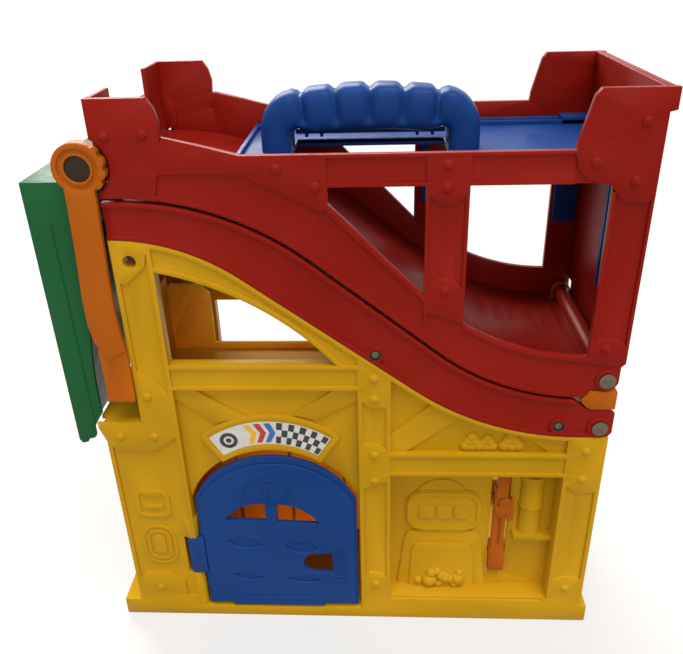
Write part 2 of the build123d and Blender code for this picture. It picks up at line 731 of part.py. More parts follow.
def frame_shape():
    over(lip_high, frame_left, hinge_x, rail_top_z)
    plate_of([(hinge_x, hinge_high_z), (hinge_x + pin_boss_radius, hinge_high_z),
              (hinge_x + pin_boss_radius, hinge_high_z + 9), (frame_right, hinge_high_z + 11),
              (frame_right, rail_top_z), (hinge_x, rail_top_z)])
    plate_of(shifted(hinge_x, hinge_high_z, high_notch), mode=Mode.SUBTRACT)
    with Locations(hinge_high):
        Circle(pin_boss_radius)
    plate_of(shifted(frame_right, height, castle_right))
    plate_of(shifted(frame_left, height, castle_left))
    plate_of(shifted(frame_left, height, [(40, -rail_drop), (85, -rail_drop), (62, -27), (40, -22)]))
    plate_of([(corner_x, rail_low_z), (mid_post_x, rail_low_z), corner_right, corner_low], mode=Mode.SUBTRACT)
    with BuildLine() as window:
        ThreePointArc(*window_sill)
        Polyline(window_sill[2], (window_right_x, rail_low_z), (mid_post_right, rail_low_z), window_sill[0])
    make_face(window.edges(), mode=Mode.SUBTRACT)
    with Locations(hub):
        Circle(hub_radius + hub_clearance, mode=Mode.SUBTRACT)


def frame_relief():
    band(lifted(lip_high, ridge), lip_high, frame_left, hinge_x)
    plate_of(shifted(hinge_x, hinge_high_z, high_notch), mode=Mode.SUBTRACT)
    panel(corner_x, rail_top_z - 2, frame_right - 46, rail_top_z)
    panel(corner_x, rail_low_z, frame_right - 46, rail_low_z + 2)
    panel(mid_post_x, window_low_z + 25, mid_post_x + 2, rail_low_z)
    panel(mid_post_right - 2, window_low_z + 25, mid_post_right, rail_low_z)
    panel(window_right_x, window_low_z, window_right_x + 2, height - 57)
    panel(frame_right - 2, hinge_high_z + 12, frame_right, height - 57)
    for points in (castle_left, shoulder, rail_gusset):
        plate_of(shifted(frame_left, height, points))
    plate_of(shifted(frame_right, height, castle_right))
    plate_of(shifted(mid_post_x, rail_low_z, mid_post_top))
    plate_of(shifted(mid_post_x, window_low_z, mid_post_low))
    plate_of(shifted(frame_right, hinge_high_z, right_post_low))
    with BuildLine() as sill:
        ThreePointArc(*window_sill)
        ThreePointArc(*sill_underside)
        Line(window_sill[0], sill_underside[0])
        Line(window_sill[2], sill_underside[2])
    make_face(sill.edges())
    plate_of([corner_low, corner_right, (mid_post_x, corner_right[1] - 4), (corner_x - 3, corner_low[1] - 3)])
    with Locations(hinge_high):
        Circle(pin_boss_radius - 0.5)
    with Locations(hub):
        Circle(hub_radius + hub_clearance, mode=Mode.SUBTRACT)


with BuildPart() as ramp_front_frame:
    with BuildSketch(at_depth(cheek_back)):
        frame_shape()
    extrude(amount=wall)
    with BuildSketch(at_depth(web_face)):
        frame_relief()
    extrude(amount=relief)
    # A crescent behind the hub's scoop
    with BuildSketch(at_depth(cheek_back + relief)):
        with Locations(hub):
            Circle(hub_radius + hub_clearance + 2.5)
        panel_cut(hub_x - 2 * hub_radius, hub_z - 2 * hub_radius, frame_left + wall, hub_z + 2 * hub_radius)
        panel_cut(hub_x, hub_z - 2 * hub_radius, hub_x + 2 * hub_radius, crest_z + low_lip_height)
    extrude(amount=relief)
    along_y(pin_boss_radius, cheek_back, boss_face, [hinge_high])
    along_y(hinge_pin_radius + 0.03, front - 1, boss_face + 1, [hinge_high], mode=Mode.SUBTRACT)
    rivets(frame_rivets, front)
save(ramp_front_frame, "ramp_front_frame")

with BuildPart() as ramp_back_frame:
    mirror(ramp_front_frame.part, about=Plane.XZ)
save(ramp_back_frame, "ramp_back_frame")


# The upper running surface with its hinge barrel, the corner walls and the shaft ears
left_wall = frame_left + wall
ear_face = front + ear_inset
link_side = boss_face + 1.5
knuckle_thickness = 4
barrel_end = link_side + knuckle_thickness + 0.5
barrel_radius = 6.5

with BuildPart() as ramp_road:
    with BuildSketch(at_depth(0)):
        band(lifted(deck_high, road_thickness), deck_high, frame_left, hinge_x + 3)
    extrude(amount=-cheek_back)
    block(hinge_x - 9, cheek_back - 1, hinge_high_z - 10, hinge_x + 10, barrel_end, hinge_high_z + 10,
          mode=Mode.SUBTRACT)
    along_y(barrel_radius, barrel_end, 0, [hinge_high])
    along_y(hinge_pin_radius + 0.03, barrel_end - 1, 1, [hinge_high], mode=Mode.SUBTRACT)
    block(frame_left, cheek_back, height - 55, left_wall, front + corner_return, height)
    with BuildSketch(at_depth(ear_face)):
        with Locations(hub):
            Circle(ear_radius)
        panel(hub_x, hub_z - ear_radius, left_wall, hub_z + ear_radius)
    extrude(amount=ear_thickness)
    along_y(shaft_radius + running_gap, front, ear_face + 1, [hub], mode=Mode.SUBTRACT)
    mirror(about=Plane.XZ)
save(ramp_road, "ramp_road")

with BuildPart() as ramp_end_wall:
    block(frame_right - wall, cheek_back, hinge_high_z + 9, frame_right, 0, height)
    block(frame_right, cheek_back, height - castle_band, frame_right + castle_flare, 0, height)
    # A thin lip runs on down beside the hinge barrel
    block(frame_right - wall, barrel_end, hinge_high_z - 2.5, frame_right - wall + 1.4, 0, hinge_high_z + 9)
    mirror(about=Plane.XZ)
save(ramp_end_wall, "ramp_end_wall")


# Top plate with its legs, and the carrying handle
plate_top_z = height - plate_drop
plate_side = -cheek_back
plate_end = frame_right - wall
rim_height = 3
grip_top_z = height - grip_drop
grip_low_z = grip_top_z - grip_thickness
grip_middle = (grip_left + grip_right) / 2
arch_left = grip_left + grip_foot_width
arch_right = grip_right - grip_foot_width
foot_places = [(x, y) for x in (grip_left + grip_foot_width / 2, grip_right - grip_foot_width / 2) for y in (-8, 8)]

with BuildPart() as top_plate:
    rim_top = plate_top_z + rim_height
    block(plate_left, -plate_side, plate_top_z - plate_thickness, plate_end, plate_side, plate_top_z)
    block(plate_left, -plate_side, plate_top_z, plate_left + rim_height, plate_side, rim_top)
    block(plate_left, plate_side - 5, plate_top_z, plate_end, plate_side, rim_top)
    block(plate_left, plate_side - 14, plate_top_z, plate_end, plate_side - 11, rim_top)
    block(plate_end - 22, plate_side - 14, plate_top_z, plate_end, plate_side, rim_top + 2)
    block(plate_end - 4, -plate_side, plate_top_z, plate_end, plate_side, rim_top)
    block(arch_left, -finger_reach, plate_top_z - 15, arch_right, finger_reach, rim_top, mode=Mode.SUBTRACT)
    for y in (-finger_reach - 3, finger_reach):
        block(arch_left - 3, y, plate_top_z - 12, arch_right + 3, y + 3, plate_top_z)
    # Legs down the inside of the walls
    for side in (-1, 1):
        y0, y1 = sorted((side * plate_side, side * (plate_side - 3)))
        block(plate_end - 19, y0, plate_top_z - 78, plate_end - 2, y1, plate_top_z)
        block(mid_post_x + 5, y0, plate_top_z - 61, mid_post_x + 10, y1, plate_top_z)
    block(plate_end - 4, -14, plate_top_z - 95, plate_end, -9, plate_top_z)
    with Locations(*[(x, y, plate_top_z - 2) for x, y in foot_places]):
        Cylinder(screw_radius + running_gap, 20, mode=Mode.SUBTRACT)
save(top_plate, "top_plate")

grip_side = grip_depth / 2
groove_places = [grip_middle + 21.5 * step for step in (-2, -1, 0, 1, 2)]
groove_radius = 3


def grip_shape(inset, foot_z):
    left, right = grip_left + inset, grip_right - inset
    shoulder_z, corner_z, lobe_z = grip_low_z + 3, grip_top_z - 10 - inset, grip_top_z - 5.5 - inset
    with BuildLine() as outline:
        Line((left, foot_z), (left, shoulder_z))
        ThreePointArc((left, shoulder_z), (grip_left + 6 + inset / 2, corner_z), (grip_left + 18, lobe_z))
        ThreePointArc((grip_left + 18, lobe_z), (grip_middle, grip_top_z - inset), (grip_right - 18, lobe_z))
        ThreePointArc((grip_right - 18, lobe_z), (grip_right - 6 - inset / 2, corner_z), (right, shoulder_z))
        Polyline((right, shoulder_z), (right, foot_z), (arch_right + inset, foot_z),
                 (arch_right + inset, grip_low_z - 5 + inset), (arch_right - 5, grip_low_z + inset),
                 (arch_left + 5, grip_low_z + inset), (arch_left - inset, grip_low_z - 5 + inset),
                 (arch_left - inset, foot_z), (left, foot_z))
    make_face(outline.edges())


with BuildPart() as carry_handle:
    with BuildSketch(at_depth(grip_side)):
        grip_shape(0, plate_top_z)
    extrude(amount=grip_depth)
    side_edges = carry_handle.edges().filter_by(Plane.XZ)
    outer_edges = side_edges.filter_by(lambda e: e.bounding_box().min.Z > plate_top_z + 20)
    fillet(outer_edges.filter_by(lambda e: e.bounding_box().max.Z > grip_top_z - 17), 5)
    for x in groove_places:
        top = grip_top_z + 1.2 - abs(x - grip_middle) * 0.05
        along_y(groove_radius, -grip_side - 1, grip_side + 1, [(x, top)], mode=Mode.SUBTRACT)
        with Locations(*[(x, y, grip_top_z - 10) for y in (-grip_side - 1.2, grip_side + 1.2)]):
            Cylinder(groove_radius, 26, mode=Mode.SUBTRACT)
    with BuildSketch(at_depth(grip_side - 4)):
        grip_shape(4, plate_top_z - 1)
    extrude(amount=grip_depth - 8, mode=Mode.SUBTRACT)
    with Locations(*[(x, y, (plate_top_z + grip_low_z + 5) / 2) for x, y in foot_places]):
        Cylinder(4, grip_low_z + 5 - plate_top_z)
        Cylinder(screw_radius, grip_low_z + 5 - plate_top_z, mode=Mode.SUBTRACT)
save(carry_handle, "carry_handle")

with BuildPart() as handle_inner:
    bar_low, bar_high = grip_low_z - 8, grip_low_z - 5
    block(arch_left + 1, 4, bar_low, arch_right - 1, 12, bar_high)
    block(arch_left + 6, 5, bar_high, arch_right - 6, 11, grip_low_z)
    for x in (grip_middle - 42, grip_middle - 32, grip_middle + 31, grip_middle + 41):
        block(x - 1, 3, bar_low - 2, x + 1, 4, bar_high + 3)
        block(x - 1, 3, bar_low - 2, x + 1, 11, bar_low)
save(handle_inner, "handle_inner")

with BuildPart() as handle_screws:
    head_top = plate_top_z - plate_thickness
    screw_tip = grip_low_z - 7
    for x, y in foot_places:
        with Locations((x, y, head_top - 1)):
            Cylinder(screw_head_radius, 2)
        with Locations((x, y, (head_top + screw_tip) / 2)):
            Cylinder(screw_radius, screw_tip - head_top)
save(handle_screws, "handle_screws")


# Hinge link and its two pins. Unfolded, the link's left face bridges the two road halves.
link_left = hinge_x - 12
link_right = hinge_x + pin_boss_radius
link_top = hinge_high_z - pin_boss_radius - 0.8
link_block = [(-7, cheek_end_radius + 0.8), (-10.5, 16.2), (-14.5, 20.5), (-14.7, 22.6), (-12.8, 24.4)]


def link_shape():
    with BuildLine() as outline:
        Polyline((hinge_x, hinge_low_z - 8), (hinge_x - 6, hinge_low_z - 12), (link_left + 2, hinge_low_z - 12),
                 (link_left, hinge_low_z - 10), (link_left, link_top - 3), (link_left + 3, link_top),
                 (link_right, link_top), (link_right, hinge_low_z))
        ThreePointArc((link_right, hinge_low_z), (hinge_x + 5.657, hinge_low_z - 5.657), (hinge_x, hinge_low_z - 8))
    make_face(outline.edges())


with BuildPart() as hinge_link:
    with BuildSketch(at_depth(-link_side)):
        link_shape()
        panel_cut(link_left + wall, hinge_low_z - 9, link_right + 1, link_top + 1)
    extrude(amount=-2 * link_side)
    for y in (link_side + wall, -20, 23, -link_side):
        with BuildSketch(at_depth(y)):
            link_shape()
        extrude(amount=wall)
    along_y(6, link_side, -link_side, [hinge_low])
    # The ends that show between the cheeks, and the knuckles on the upper pin
    for y in (link_side + wall, back):
        with BuildSketch(at_depth(y)):
            nose = shifted(hinge_x, hinge_low_z, link_block)
            plate_of(nose + [(hinge_x - 9.5, link_top), (link_right, link_top), (link_right, nose[0][1])])
        extrude(amount=y - front if y < 0 else back + link_side + wall)
    for y in (link_side + knuckle_thickness, -link_side):
        with BuildSketch(at_depth(y)):
            with Locations(hinge_high):
                Circle(pin_boss_radius - fit_gap)
            panel(hinge_x - 7.7, link_top - 2, hinge_x + 7.7, hinge_high_z)
        extrude(amount=knuckle_thickness)
    along_y(hinge_pin_radius + running_gap, link_side - 1, -link_side + 1, [hinge_low, hinge_high],
            mode=Mode.SUBTRACT)
save(hinge_link, "hinge_link")


def hinge_pin(z, name):
    with BuildPart() as pin:
        along_y(hinge_pin_radius, front, back, [(hinge_x, z)])
        along_y(pin_head_radius, front - pin_head_height, front, [(hinge_x, z)])
        along_y(pin_head_radius, back, back + pin_head_height, [(hinge_x, z)])
    save(pin, name)


hinge_pin(hinge_low_z, "hinge_pin_lower")
hinge_pin(hinge_high_z, "hinge_pin_upper")


# Exit chute, hanging on the shaft at the left end. Its inner edge follows the fold's sweep over the base.
chute_face = front + chute_inset
chute_inside = chute_face + chute_wall
chute_outer_x = hub_x - chute_reach
chute_top_z = hub_z - chute_top_drop
chute_tip_z = ledge_z - chute_tip_drop
fold_middle_z = (hinge_low_z + hinge_high_z) / 2
deck_corner_z = crest_z + 0.2 - parting_gap - low_lip_height
sweep_radius = hypot(hinge_x - base_left, deck_corner_z - fold_middle_z) + 2.2
floor_top_x = hub_x - 8.5


def sweep_x(z):
    """How far right the chute may reach at z without meeting the base as the top section lifts."""
    return hinge_x - sqrt(sweep_radius ** 2 - (z - fold_middle_z) ** 2)


def floor_x(z):
    """The outer face of the chute's floor at z."""
    share = (z - chute_tip_z - 4) / (chute_top_z - chute_tip_z - 4)
    return chute_outer_x + share * (floor_top_x - chute_outer_x)


with BuildPart() as exit_chute:
    with BuildSketch(at_depth(chute_inside)):
        curve_low, curve_high = ledge_z + 4, deck_corner_z + 1
        curve = [(sweep_x(z), z) for z in (curve_low, (curve_low + curve_high) / 2, curve_high)]
        with BuildLine() as side:
            ThreePointArc(*curve)
            Polyline(curve[2], (hub_x + 3, chute_top_z - 8), (hub_x + 3, chute_top_z), (chute_outer_x, chute_top_z),
                     (chute_outer_x, chute_tip_z + 3), (chute_outer_x + 2, chute_tip_z),
                     (chute_outer_x + 6, chute_tip_z + 1), (ledge_left - 2.5, ledge_z - 3), curve[0])
        make_face(side.edges())
        panel(hub_x - 7, chute_top_z - 4, hub_x + 6, hub_z)
        with Locations(hub):
            Circle(8.5)
    extrude(amount=chute_wall)
    with BuildSketch(at_depth(chute_face)):
        with Locations((chute_outer_x + 8, (chute_top_z + chute_tip_z) / 2 - 9)):
            RectangleRounded(12, chute_top_z - chute_tip_z - 27, 5)
    extrude(amount=0.8)
    with BuildSketch(at_depth(0)):
        plate_of([(floor_top_x + 3, chute_top_z), (floor_top_x, chute_top_z), (chute_outer_x, chute_tip_z + 4),
                  (chute_outer_x + 3, chute_tip_z + 2)])
    extrude(amount=-chute_inside)
    block(chute_outer_x, chute_inside, chute_top_z - wall, floor_top_x + 1, 0, chute_top_z)
    for z in (ledge_z + 44, ledge_z + 104):
        block(chute_outer_x, chute_inside, z, floor_x(z) + 1, 0, z + 2.5)
    along_y(shaft_radius + running_gap, front, ear_face + 1, [hub], mode=Mode.SUBTRACT)
    mirror(about=Plane.XZ)
save(exit_chute, "exit_chute")


# Latch arms on a shared shaft. They run in front of the cheeks, so the top section folds past the base.
arm_back = front - arm_gap
arm_face = arm_back - arm_thickness
arm_foot_z = ledge_z + arm_foot_lift
hub_boss_back = front + chute_inset - 1
arm_strip = [(-10, -11), (-10, -18), (-11, -50), (-13, -82), (-13, -100), (-11, -113), (-4, -126), (8.5, -119)]
arm_strip += [(7, -108), (6, -92), (6, -69), (7, -43), (8, -18), (8, -11)]

with BuildPart() as latch_arm_front:
    with BuildSketch(at_depth(hub_boss_back)):
        with Locations(hub):
            Circle(hub_radius - 1.5)
            with PolarLocations(hub_radius - 3.2, 5, start_angle=-70, angular_range=140):
                Circle(3.2)
    extrude(amount=hub_boss_back - arm_face)
    with BuildSketch(at_depth(arm_back)):
        plate_of(shifted(hub_x, hub_z, arm_strip))
    extrude(amount=arm_thickness)
    with BuildSketch(at_depth(arm_back)):
        panel(hub_x - 10, arm_foot_z, hub_x + 8.5, hub_z - 118)
    extrude(amount=arm_thickness - 1)
    block(hub_x - 10, arm_face, arm_foot_z, hub_x + 8.5, arm_back, arm_foot_z + 3)
    # A ring groove round the shaft's head, and the head's recess
    with BuildSketch(at_depth(arm_face + 1.2)):
        with Locations(hub):
            Circle(12)
            Circle(9.3, mode=Mode.SUBTRACT)
    extrude(amount=2, mode=Mode.SUBTRACT)
    along_y(shaft_head_radius + fit_gap, arm_face - 1, arm_face + shaft_head_height + 0.7, [hub],
            mode=Mode.SUBTRACT)
    along_y(shaft_radius + 0.02, arm_face - 1, hub_boss_back + 1, [hub], mode=Mode.SUBTRACT)
save(latch_arm_front, "latch_arm_front")

with BuildPart() as latch_arm_back:
    mirror(latch_arm_front.part, about=Plane.XZ)
save(latch_arm_back, "latch_arm_back")

with BuildPart() as latch_shaft:
    shaft_end = arm_face + shaft_head_height + 0.7
    along_y(shaft_radius, shaft_end, -shaft_end, [hub])
    along_y(shaft_head_radius, shaft_end - shaft_head_height, shaft_end, [hub])
    along_y(shaft_head_radius, -shaft_end, -shaft_end + shaft_head_height, [hub])
save(latch_shaft, "latch_shaft")


# Door
door_left = left_bay_x + 3
door_right = centre_post_x - 2.5
door_face = front + 1
door_middle = (door_left + door_right) / 2
number_one = [(-7, 121), (-4, 121), (-4, 134), (-6, 134), (-10, 131), (-10, 129), (-7, 130.5)]
left_pane = [(-37, 98), (-32, 106), (-25, 111), (-8, 114), (-8, 97)]
right_pane = [(2, 97), (2, 114), (18, 110), (32, 98)]
panes = [shifted(bay_middle, 0, pane) for pane in (left_pane, right_pane)]
handle_hole = (bay_middle + 29, 56.5)
number_place = (bay_middle - 6, 127)


def door_shape():
    spring = door_spring_z + 5
    with BuildLine() as outline:
        ThreePointArc((door_left, spring), (door_middle, door_top_z), (door_right, spring))
        Polyline((door_right, spring), (door_right, door_bottom), (door_left, door_bottom), (door_left, spring))
    make_face(outline.edges())


with BuildPart() as door:
    with BuildSketch(at_depth(door_face + door_thickness)):
        door_shape()
    extrude(amount=door_thickness - relief)
    with BuildSketch(at_depth(door_face + relief)):
        door_shape()
        offset(amount=-4, mode=Mode.SUBTRACT)
        with Locations(number_place):
            SlotOverall(32, 20)
        for pane in panes:
            with BuildSketch(mode=Mode.PRIVATE) as pane_rim:
                plate_of(pane)
                offset(amount=2.5, kind=Kind.INTERSECTION)
            add(pane_rim.sketch)
        with Locations(handle_hole):
            RectangleRounded(28, 24, 6)
        panel(bay_middle - 34, door_bottom, bay_middle + 37, door_bottom + 9)
    extrude(amount=relief)
    with BuildSketch(at_depth(door_face + 1)):
        with Locations(number_place):
            SlotOverall(28, 16)
        plate_of(shifted(bay_middle, 0, number_one), mode=Mode.SUBTRACT)
    extrude(amount=1, mode=Mode.SUBTRACT)
    with BuildSketch(at_depth(door_face + door_thickness)):
        for pane in panes:
            plate_of(pane)
        with Locations(handle_hole):
            RectangleRounded(22, 18, 5)
    extrude(amount=door_thickness + 1, mode=Mode.SUBTRACT)
    with BuildSketch(at_depth(door_face + relief + 0.8)):
        for x, z, length in ((-24, 76, 28), (17, 76, 28), (-24, 41, 16), (-6, 41, 16)):
            with Locations((bay_middle + x, z)):
                SlotOverall(length, 5)
        panel(bay_middle + 42, 39, bay_middle + 48, 67)
    extrude(amount=0.8, mode=Mode.SUBTRACT)
    block(door_axis_x, door_face, door_knuckle_low, door_left, door_face + door_thickness, door_knuckle_high)
    with Locations((door_axis_x, door_axis_y, (door_knuckle_low + door_knuckle_high) / 2)):
        Cylinder(door_knuckle_radius, door_knuckle_high - door_knuckle_low)
        Cylinder(door_pin_radius + running_gap, door_knuckle_high - door_knuckle_low, mode=Mode.SUBTRACT)
save(door, "door")

with BuildPart() as door_hinge_rod:
    with Locations((door_axis_x, door_axis_y, 53.2)):
        Cylinder(door_pin_radius, 82)
save(door_hinge_rod, "door_hinge_rod")


# Pump lever in the slot of the pump bay: a foot on the axle, a grooved bar and a hooked nozzle
lever_front = bay_face - 3
lever_half = lever_width / 2
nozzle = [(-5, 54), (3, 50), (7.5, 60), (9.5, 52), (9.5, 40), (5.5, 37), (4.5, 46), (1, 42), (-2.5, 44)]

with BuildPart() as pump_lever:
    block(lever_x - 6, lever_front - 1.5, lever_pivot_z - 12, lever_x + 6, bay_face + 2, lever_pivot_z + 9)
    block(lever_x - lever_half, lever_front, lever_pivot_z, lever_x + lever_half, bay_face + 2, beam_low_z - 22)
    block(lever_x - lever_half, lever_front, lever_pivot_z - 7, lever_x + lever_half, lever_y + 4,
          lever_pivot_z + 6)
    block(lever_x - 1.2, lever_front - 1, lever_pivot_z + 14, lever_x + 1.2, lever_front + 1.2, lever_pivot_z + 42,
          mode=Mode.SUBTRACT)
    with BuildSketch(at_depth(lever_front + 2)):
        plate_of(shifted(lever_x, lever_pivot_z, nozzle))
        with Locations((lever_x + 3.5, lever_pivot_z + 55)):
            Circle(5)
    extrude(amount=4)
    with BuildSketch(at_depth(bay_face + 1)):
        plate_of(shifted(lever_x, lever_pivot_z, [(-4, 60), (4.5, 60), (5.5, 84), (3, 87), (-1.5, 87), (-3, 78)]))
    extrude(amount=5.5)
    with Locations(Location((lever_x, lever_y, lever_pivot_z), (0, 90, 0))):
        Cylinder(5, lever_width)
        Cylinder(lever_pin_radius + running_gap, lever_width + 3, mode=Mode.SUBTRACT)
save(pump_lever, "pump_lever")

with BuildPart() as pump_axle:
    with Locations(Location((lever_x, lever_y, lever_pivot_z), (0, 90, 0))):
        Cylinder(lever_pin_radius, slot_width + 6)
save(pump_axle, "pump_axle")


# Screws
with BuildPart() as track_screw_set:
    along_y(screw_head_radius, front + 0.5, front + 2.5, track_screws)
    along_y(screw_radius, front + 2.5, inside_face, track_screws)
    mirror(about=Plane.XZ)
save(track_screw_set, "track_screws")

with BuildPart() as housing_screw_set:
    along_y(screw_head_radius, 6, 8.5, housing_screws)
    along_y(screw_radius, -12, 6, housing_screws)
save(housing_screw_set, "housing_screws")
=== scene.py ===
"""Folding toy garage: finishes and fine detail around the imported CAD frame.

Sizes are in millimetres where they are drawn, and MM turns them into Blender's metres.
"""

import math

import bmesh
import bpy
from bpy.props import FloatProperty, FloatVectorProperty, IntProperty, PointerProperty
from mathutils import Matrix, Vector


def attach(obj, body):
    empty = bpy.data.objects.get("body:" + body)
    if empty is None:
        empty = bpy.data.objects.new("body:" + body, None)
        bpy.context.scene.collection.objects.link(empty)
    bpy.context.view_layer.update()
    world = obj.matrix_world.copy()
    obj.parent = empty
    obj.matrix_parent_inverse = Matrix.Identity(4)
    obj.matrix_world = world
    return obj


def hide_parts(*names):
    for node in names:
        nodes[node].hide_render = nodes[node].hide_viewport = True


bl_info = {
    "name": "Folding Toy Garage",
    "version": (1, 0, 0),
    "blender": (4, 5, 0),
    "location": "View3D > Sidebar > Toy Garage",
    "description": "Finishes the plastic, handle, door, screws and sign of a toy garage",
    "category": "Object",
}

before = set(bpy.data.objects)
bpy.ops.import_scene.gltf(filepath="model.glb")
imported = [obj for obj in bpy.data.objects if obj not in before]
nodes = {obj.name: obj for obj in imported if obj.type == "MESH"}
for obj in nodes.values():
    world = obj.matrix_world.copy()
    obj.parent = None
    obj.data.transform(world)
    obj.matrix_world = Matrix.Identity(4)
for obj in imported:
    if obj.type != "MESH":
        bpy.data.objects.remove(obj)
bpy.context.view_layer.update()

MM = 0.001
FRONT = -75.0

PLASTIC_NODES = {
    "yellow": ("front_facade", "back_facade"),
    "red": ("lower_track", "ramp_front_frame", "ramp_back_frame", "ramp_road", "ramp_end_wall"),
    "orange": ("hinge_link", "latch_arm_front", "latch_arm_back", "pump_lever"),
    # The floors and inner walls take the orange plastic painted lighter, as painted light in
    # the dim interior.
    "amber": ("garage_floor", "upper_floor", "inner_wall"),
    "blue": ("top_plate", "handle_inner", "door"),
    "green": ("exit_chute",),
    "grey": ("latch_shaft",),
}
STEEL_NODES = (
    "hinge_pin_lower", "hinge_pin_upper", "door_hinge_rod", "pump_axle", "track_screws",
    "housing_screws", "handle_screws",
)


# Settings a user would change

class PlasticSettings(bpy.types.PropertyGroup):
    yellow: FloatVectorProperty(
        name="Yellow", description="Colour of the housing",
        subtype="COLOR", size=3, min=0, max=1, default=(0.545, 0.292, 0.0050))
    red: FloatVectorProperty(
        name="Red", description="Colour of the road and the top section",
        subtype="COLOR", size=3, min=0, max=1, default=(0.262, 0.0085, 0.0032))
    orange: FloatVectorProperty(
        name="Orange", description="Colour of the arms, link and pump lever",
        subtype="COLOR", size=3, min=0, max=1, default=(0.42, 0.096, 0.0022))
    # Painted light: the orange plastic painted lighter for the floors and inner walls, to stand
    # in for the light in the dim interior.
    amber: FloatVectorProperty(
        name="Lit orange", description="Colour of the thin floors and inner walls",
        subtype="COLOR", size=3, min=0, max=1, default=(0.86, 0.40, 0.030))
    blue: FloatVectorProperty(
        name="Blue", description="Colour of the handle, door and top plate",
        subtype="COLOR", size=3, min=0, max=1, default=(0.0085, 0.050, 0.215))
    green: FloatVectorProperty(
        name="Green", description="Colour of the exit chute",
        subtype="COLOR", size=3, min=0, max=1, default=(0.011, 0.100, 0.029))
    # This grey also colours the dark rings of painted shadow round the track screws.
    grey: FloatVectorProperty(
        name="Shaft grey", description="Colour of the shaft's end caps",
        subtype="COLOR", size=3, min=0, max=1, default=(0.032, 0.023, 0.015))
    steel: FloatVectorProperty(
        name="Steel", description="Colour of pins and screws",
        subtype="COLOR", size=3, min=0, max=1, default=(0.175, 0.135, 0.095))
    roughness: FloatProperty(
        name="Roughness", description="Roughness of the moulded plastic",
        default=0.34, min=0, max=1, subtype="FACTOR")
    gloss: FloatProperty(
        name="Gloss", description="Specular level of the moulded plastic",
        default=0.08, min=0, max=1, subtype="FACTOR")
    glow: FloatProperty(
        name="Glow", description="Share of light that passes through the thin amber walls",
        default=0.8, min=0, max=1, subtype="FACTOR")
    edge_radius: FloatProperty(
        name="Edge radius", description="Rounding of the moulded edges",
        default=0.0006, min=0, max=0.003, unit="LENGTH")


class HandleSettings(bpy.types.PropertyGroup):
    lobes: IntProperty(
        name="Lobes", description="Number of finger lobes along the grip",
        default=6, min=1, max=12)
    pitch: FloatProperty(
        name="Lobe pitch", description="Distance from one lobe to the next",
        default=0.0215, unit="LENGTH")
    groove_depth: FloatProperty(
        name="Groove depth", description="Depth of the grooves between lobes",
        default=0.0034, unit="LENGTH")
    corner_radius: FloatProperty(
        name="Corner radius", description="Bend where the feet meet the grip",
        default=0.015, unit="LENGTH")


class FastenerSettings(bpy.types.PropertyGroup):
    rivet_radius: FloatProperty(
        name="Rivet radius", description="Radius of the moulded rivet heads",
        default=0.0033, unit="LENGTH")
    rivet_height: FloatProperty(
        name="Rivet height", description="Height of the moulded rivet heads",
        default=0.0014, unit="LENGTH")
    screw_radius: FloatProperty(
        name="Screw radius", description="Radius of the screw heads",
        default=0.003, unit="LENGTH")


class DoorSettings(bpy.types.PropertyGroup):
    edge: FloatProperty(
        name="Edge radius", description="Rounding of the door's and top plate's edges",
        default=0.0007, min=0.0001, max=0.002, unit="LENGTH")
    hollow_depth: FloatProperty(
        name="Hollow depth", description="Depth of the four hollows in the door",
        default=0.0032, min=0.0005, max=0.0033, unit="LENGTH")


class BushSettings(bpy.types.PropertyGroup):
    swell: FloatProperty(
        name="Swell", description="How far the leaves stand out, as a share of their radius",
        default=0.9, min=0.2, max=1.5)
    leaf_scale: FloatProperty(
        name="Leaf scale", description="Size of the leaves against the drawn ones",
        default=1.0, min=0.5, max=1.5)


class SignSettings(bpy.types.PropertyGroup):
    paper: FloatVectorProperty(
        name="Paper", description="Ground colour of the sign",
        subtype="COLOR", size=3, min=0, max=1, default=(0.62, 0.60, 0.55))
    ink: FloatVectorProperty(
        name="Ink", description="Dark colour of the chequers",
        subtype="COLOR", size=3, min=0, max=1, default=(0.018, 0.018, 0.022))
    columns: IntProperty(
        name="Chequer columns", description="Chequers along the sign",
        default=9, min=2, max=30)
    rows: IntProperty(
        name="Chequer rows", description="Chequers across the sign",
        default=3, min=2, max=8)


class StageSettings(bpy.types.PropertyGroup):
    floor_size: FloatProperty(
        name="Floor size", description="Width of the floor",
        default=60.0, unit="LENGTH")
    floor_grey: FloatProperty(
        name="Floor grey", description="Share of light that the floor gives back",
        default=0.36, min=0, max=1, subtype="FACTOR")
    floor_lift: FloatProperty(
        name="Floor lift", description="What is seen on top of the floor's own grey",
        default=0.46, min=0, max=1, subtype="FACTOR")
    lens: FloatProperty(
        name="Lens", description="Focal length of the camera in millimetres",
        default=38.35, min=10, max=200, unit="CAMERA")
    key_strength: FloatProperty(
        name="Key light", description="Strength of the soft light from above",
        default=2.1, min=0)
    back_strength: FloatProperty(
        name="Back light", description="Strength of the soft light from behind",
        default=2.9, min=0)
    front_strength: FloatProperty(
        name="Front light", description="Strength of the soft light from the front",
        default=0.6, min=0)
    sky_strength: FloatProperty(
        name="Room light", description="Strength of the even light of the room",
        default=0.56, min=0)


# Materials. The scales of the surface detail are in noise cells per metre.

FLOW_SCALE, SCUFF_SCALE, DULL_SCALE, PEEL_SCALE = 9, 55, 38, 900
SCUFF_STRETCH = (1, 1, 9)
SCUFF_TURN = (0.3, 0.5, 0.4)
SCUFF_SHARE = 0.1225
PLASTIC_IOR = 1.47
GLOW_RADIUS = (1.0, 0.85, 0.5)
GLOW_DEPTH = 0.010
PLATING_SCALE, PLATING_DULL_SCALE, TURNING_SCALE = 420, 900, 1600
FILM_GRAIN_SCALE, FILM_DULL_SCALE = 160, 220


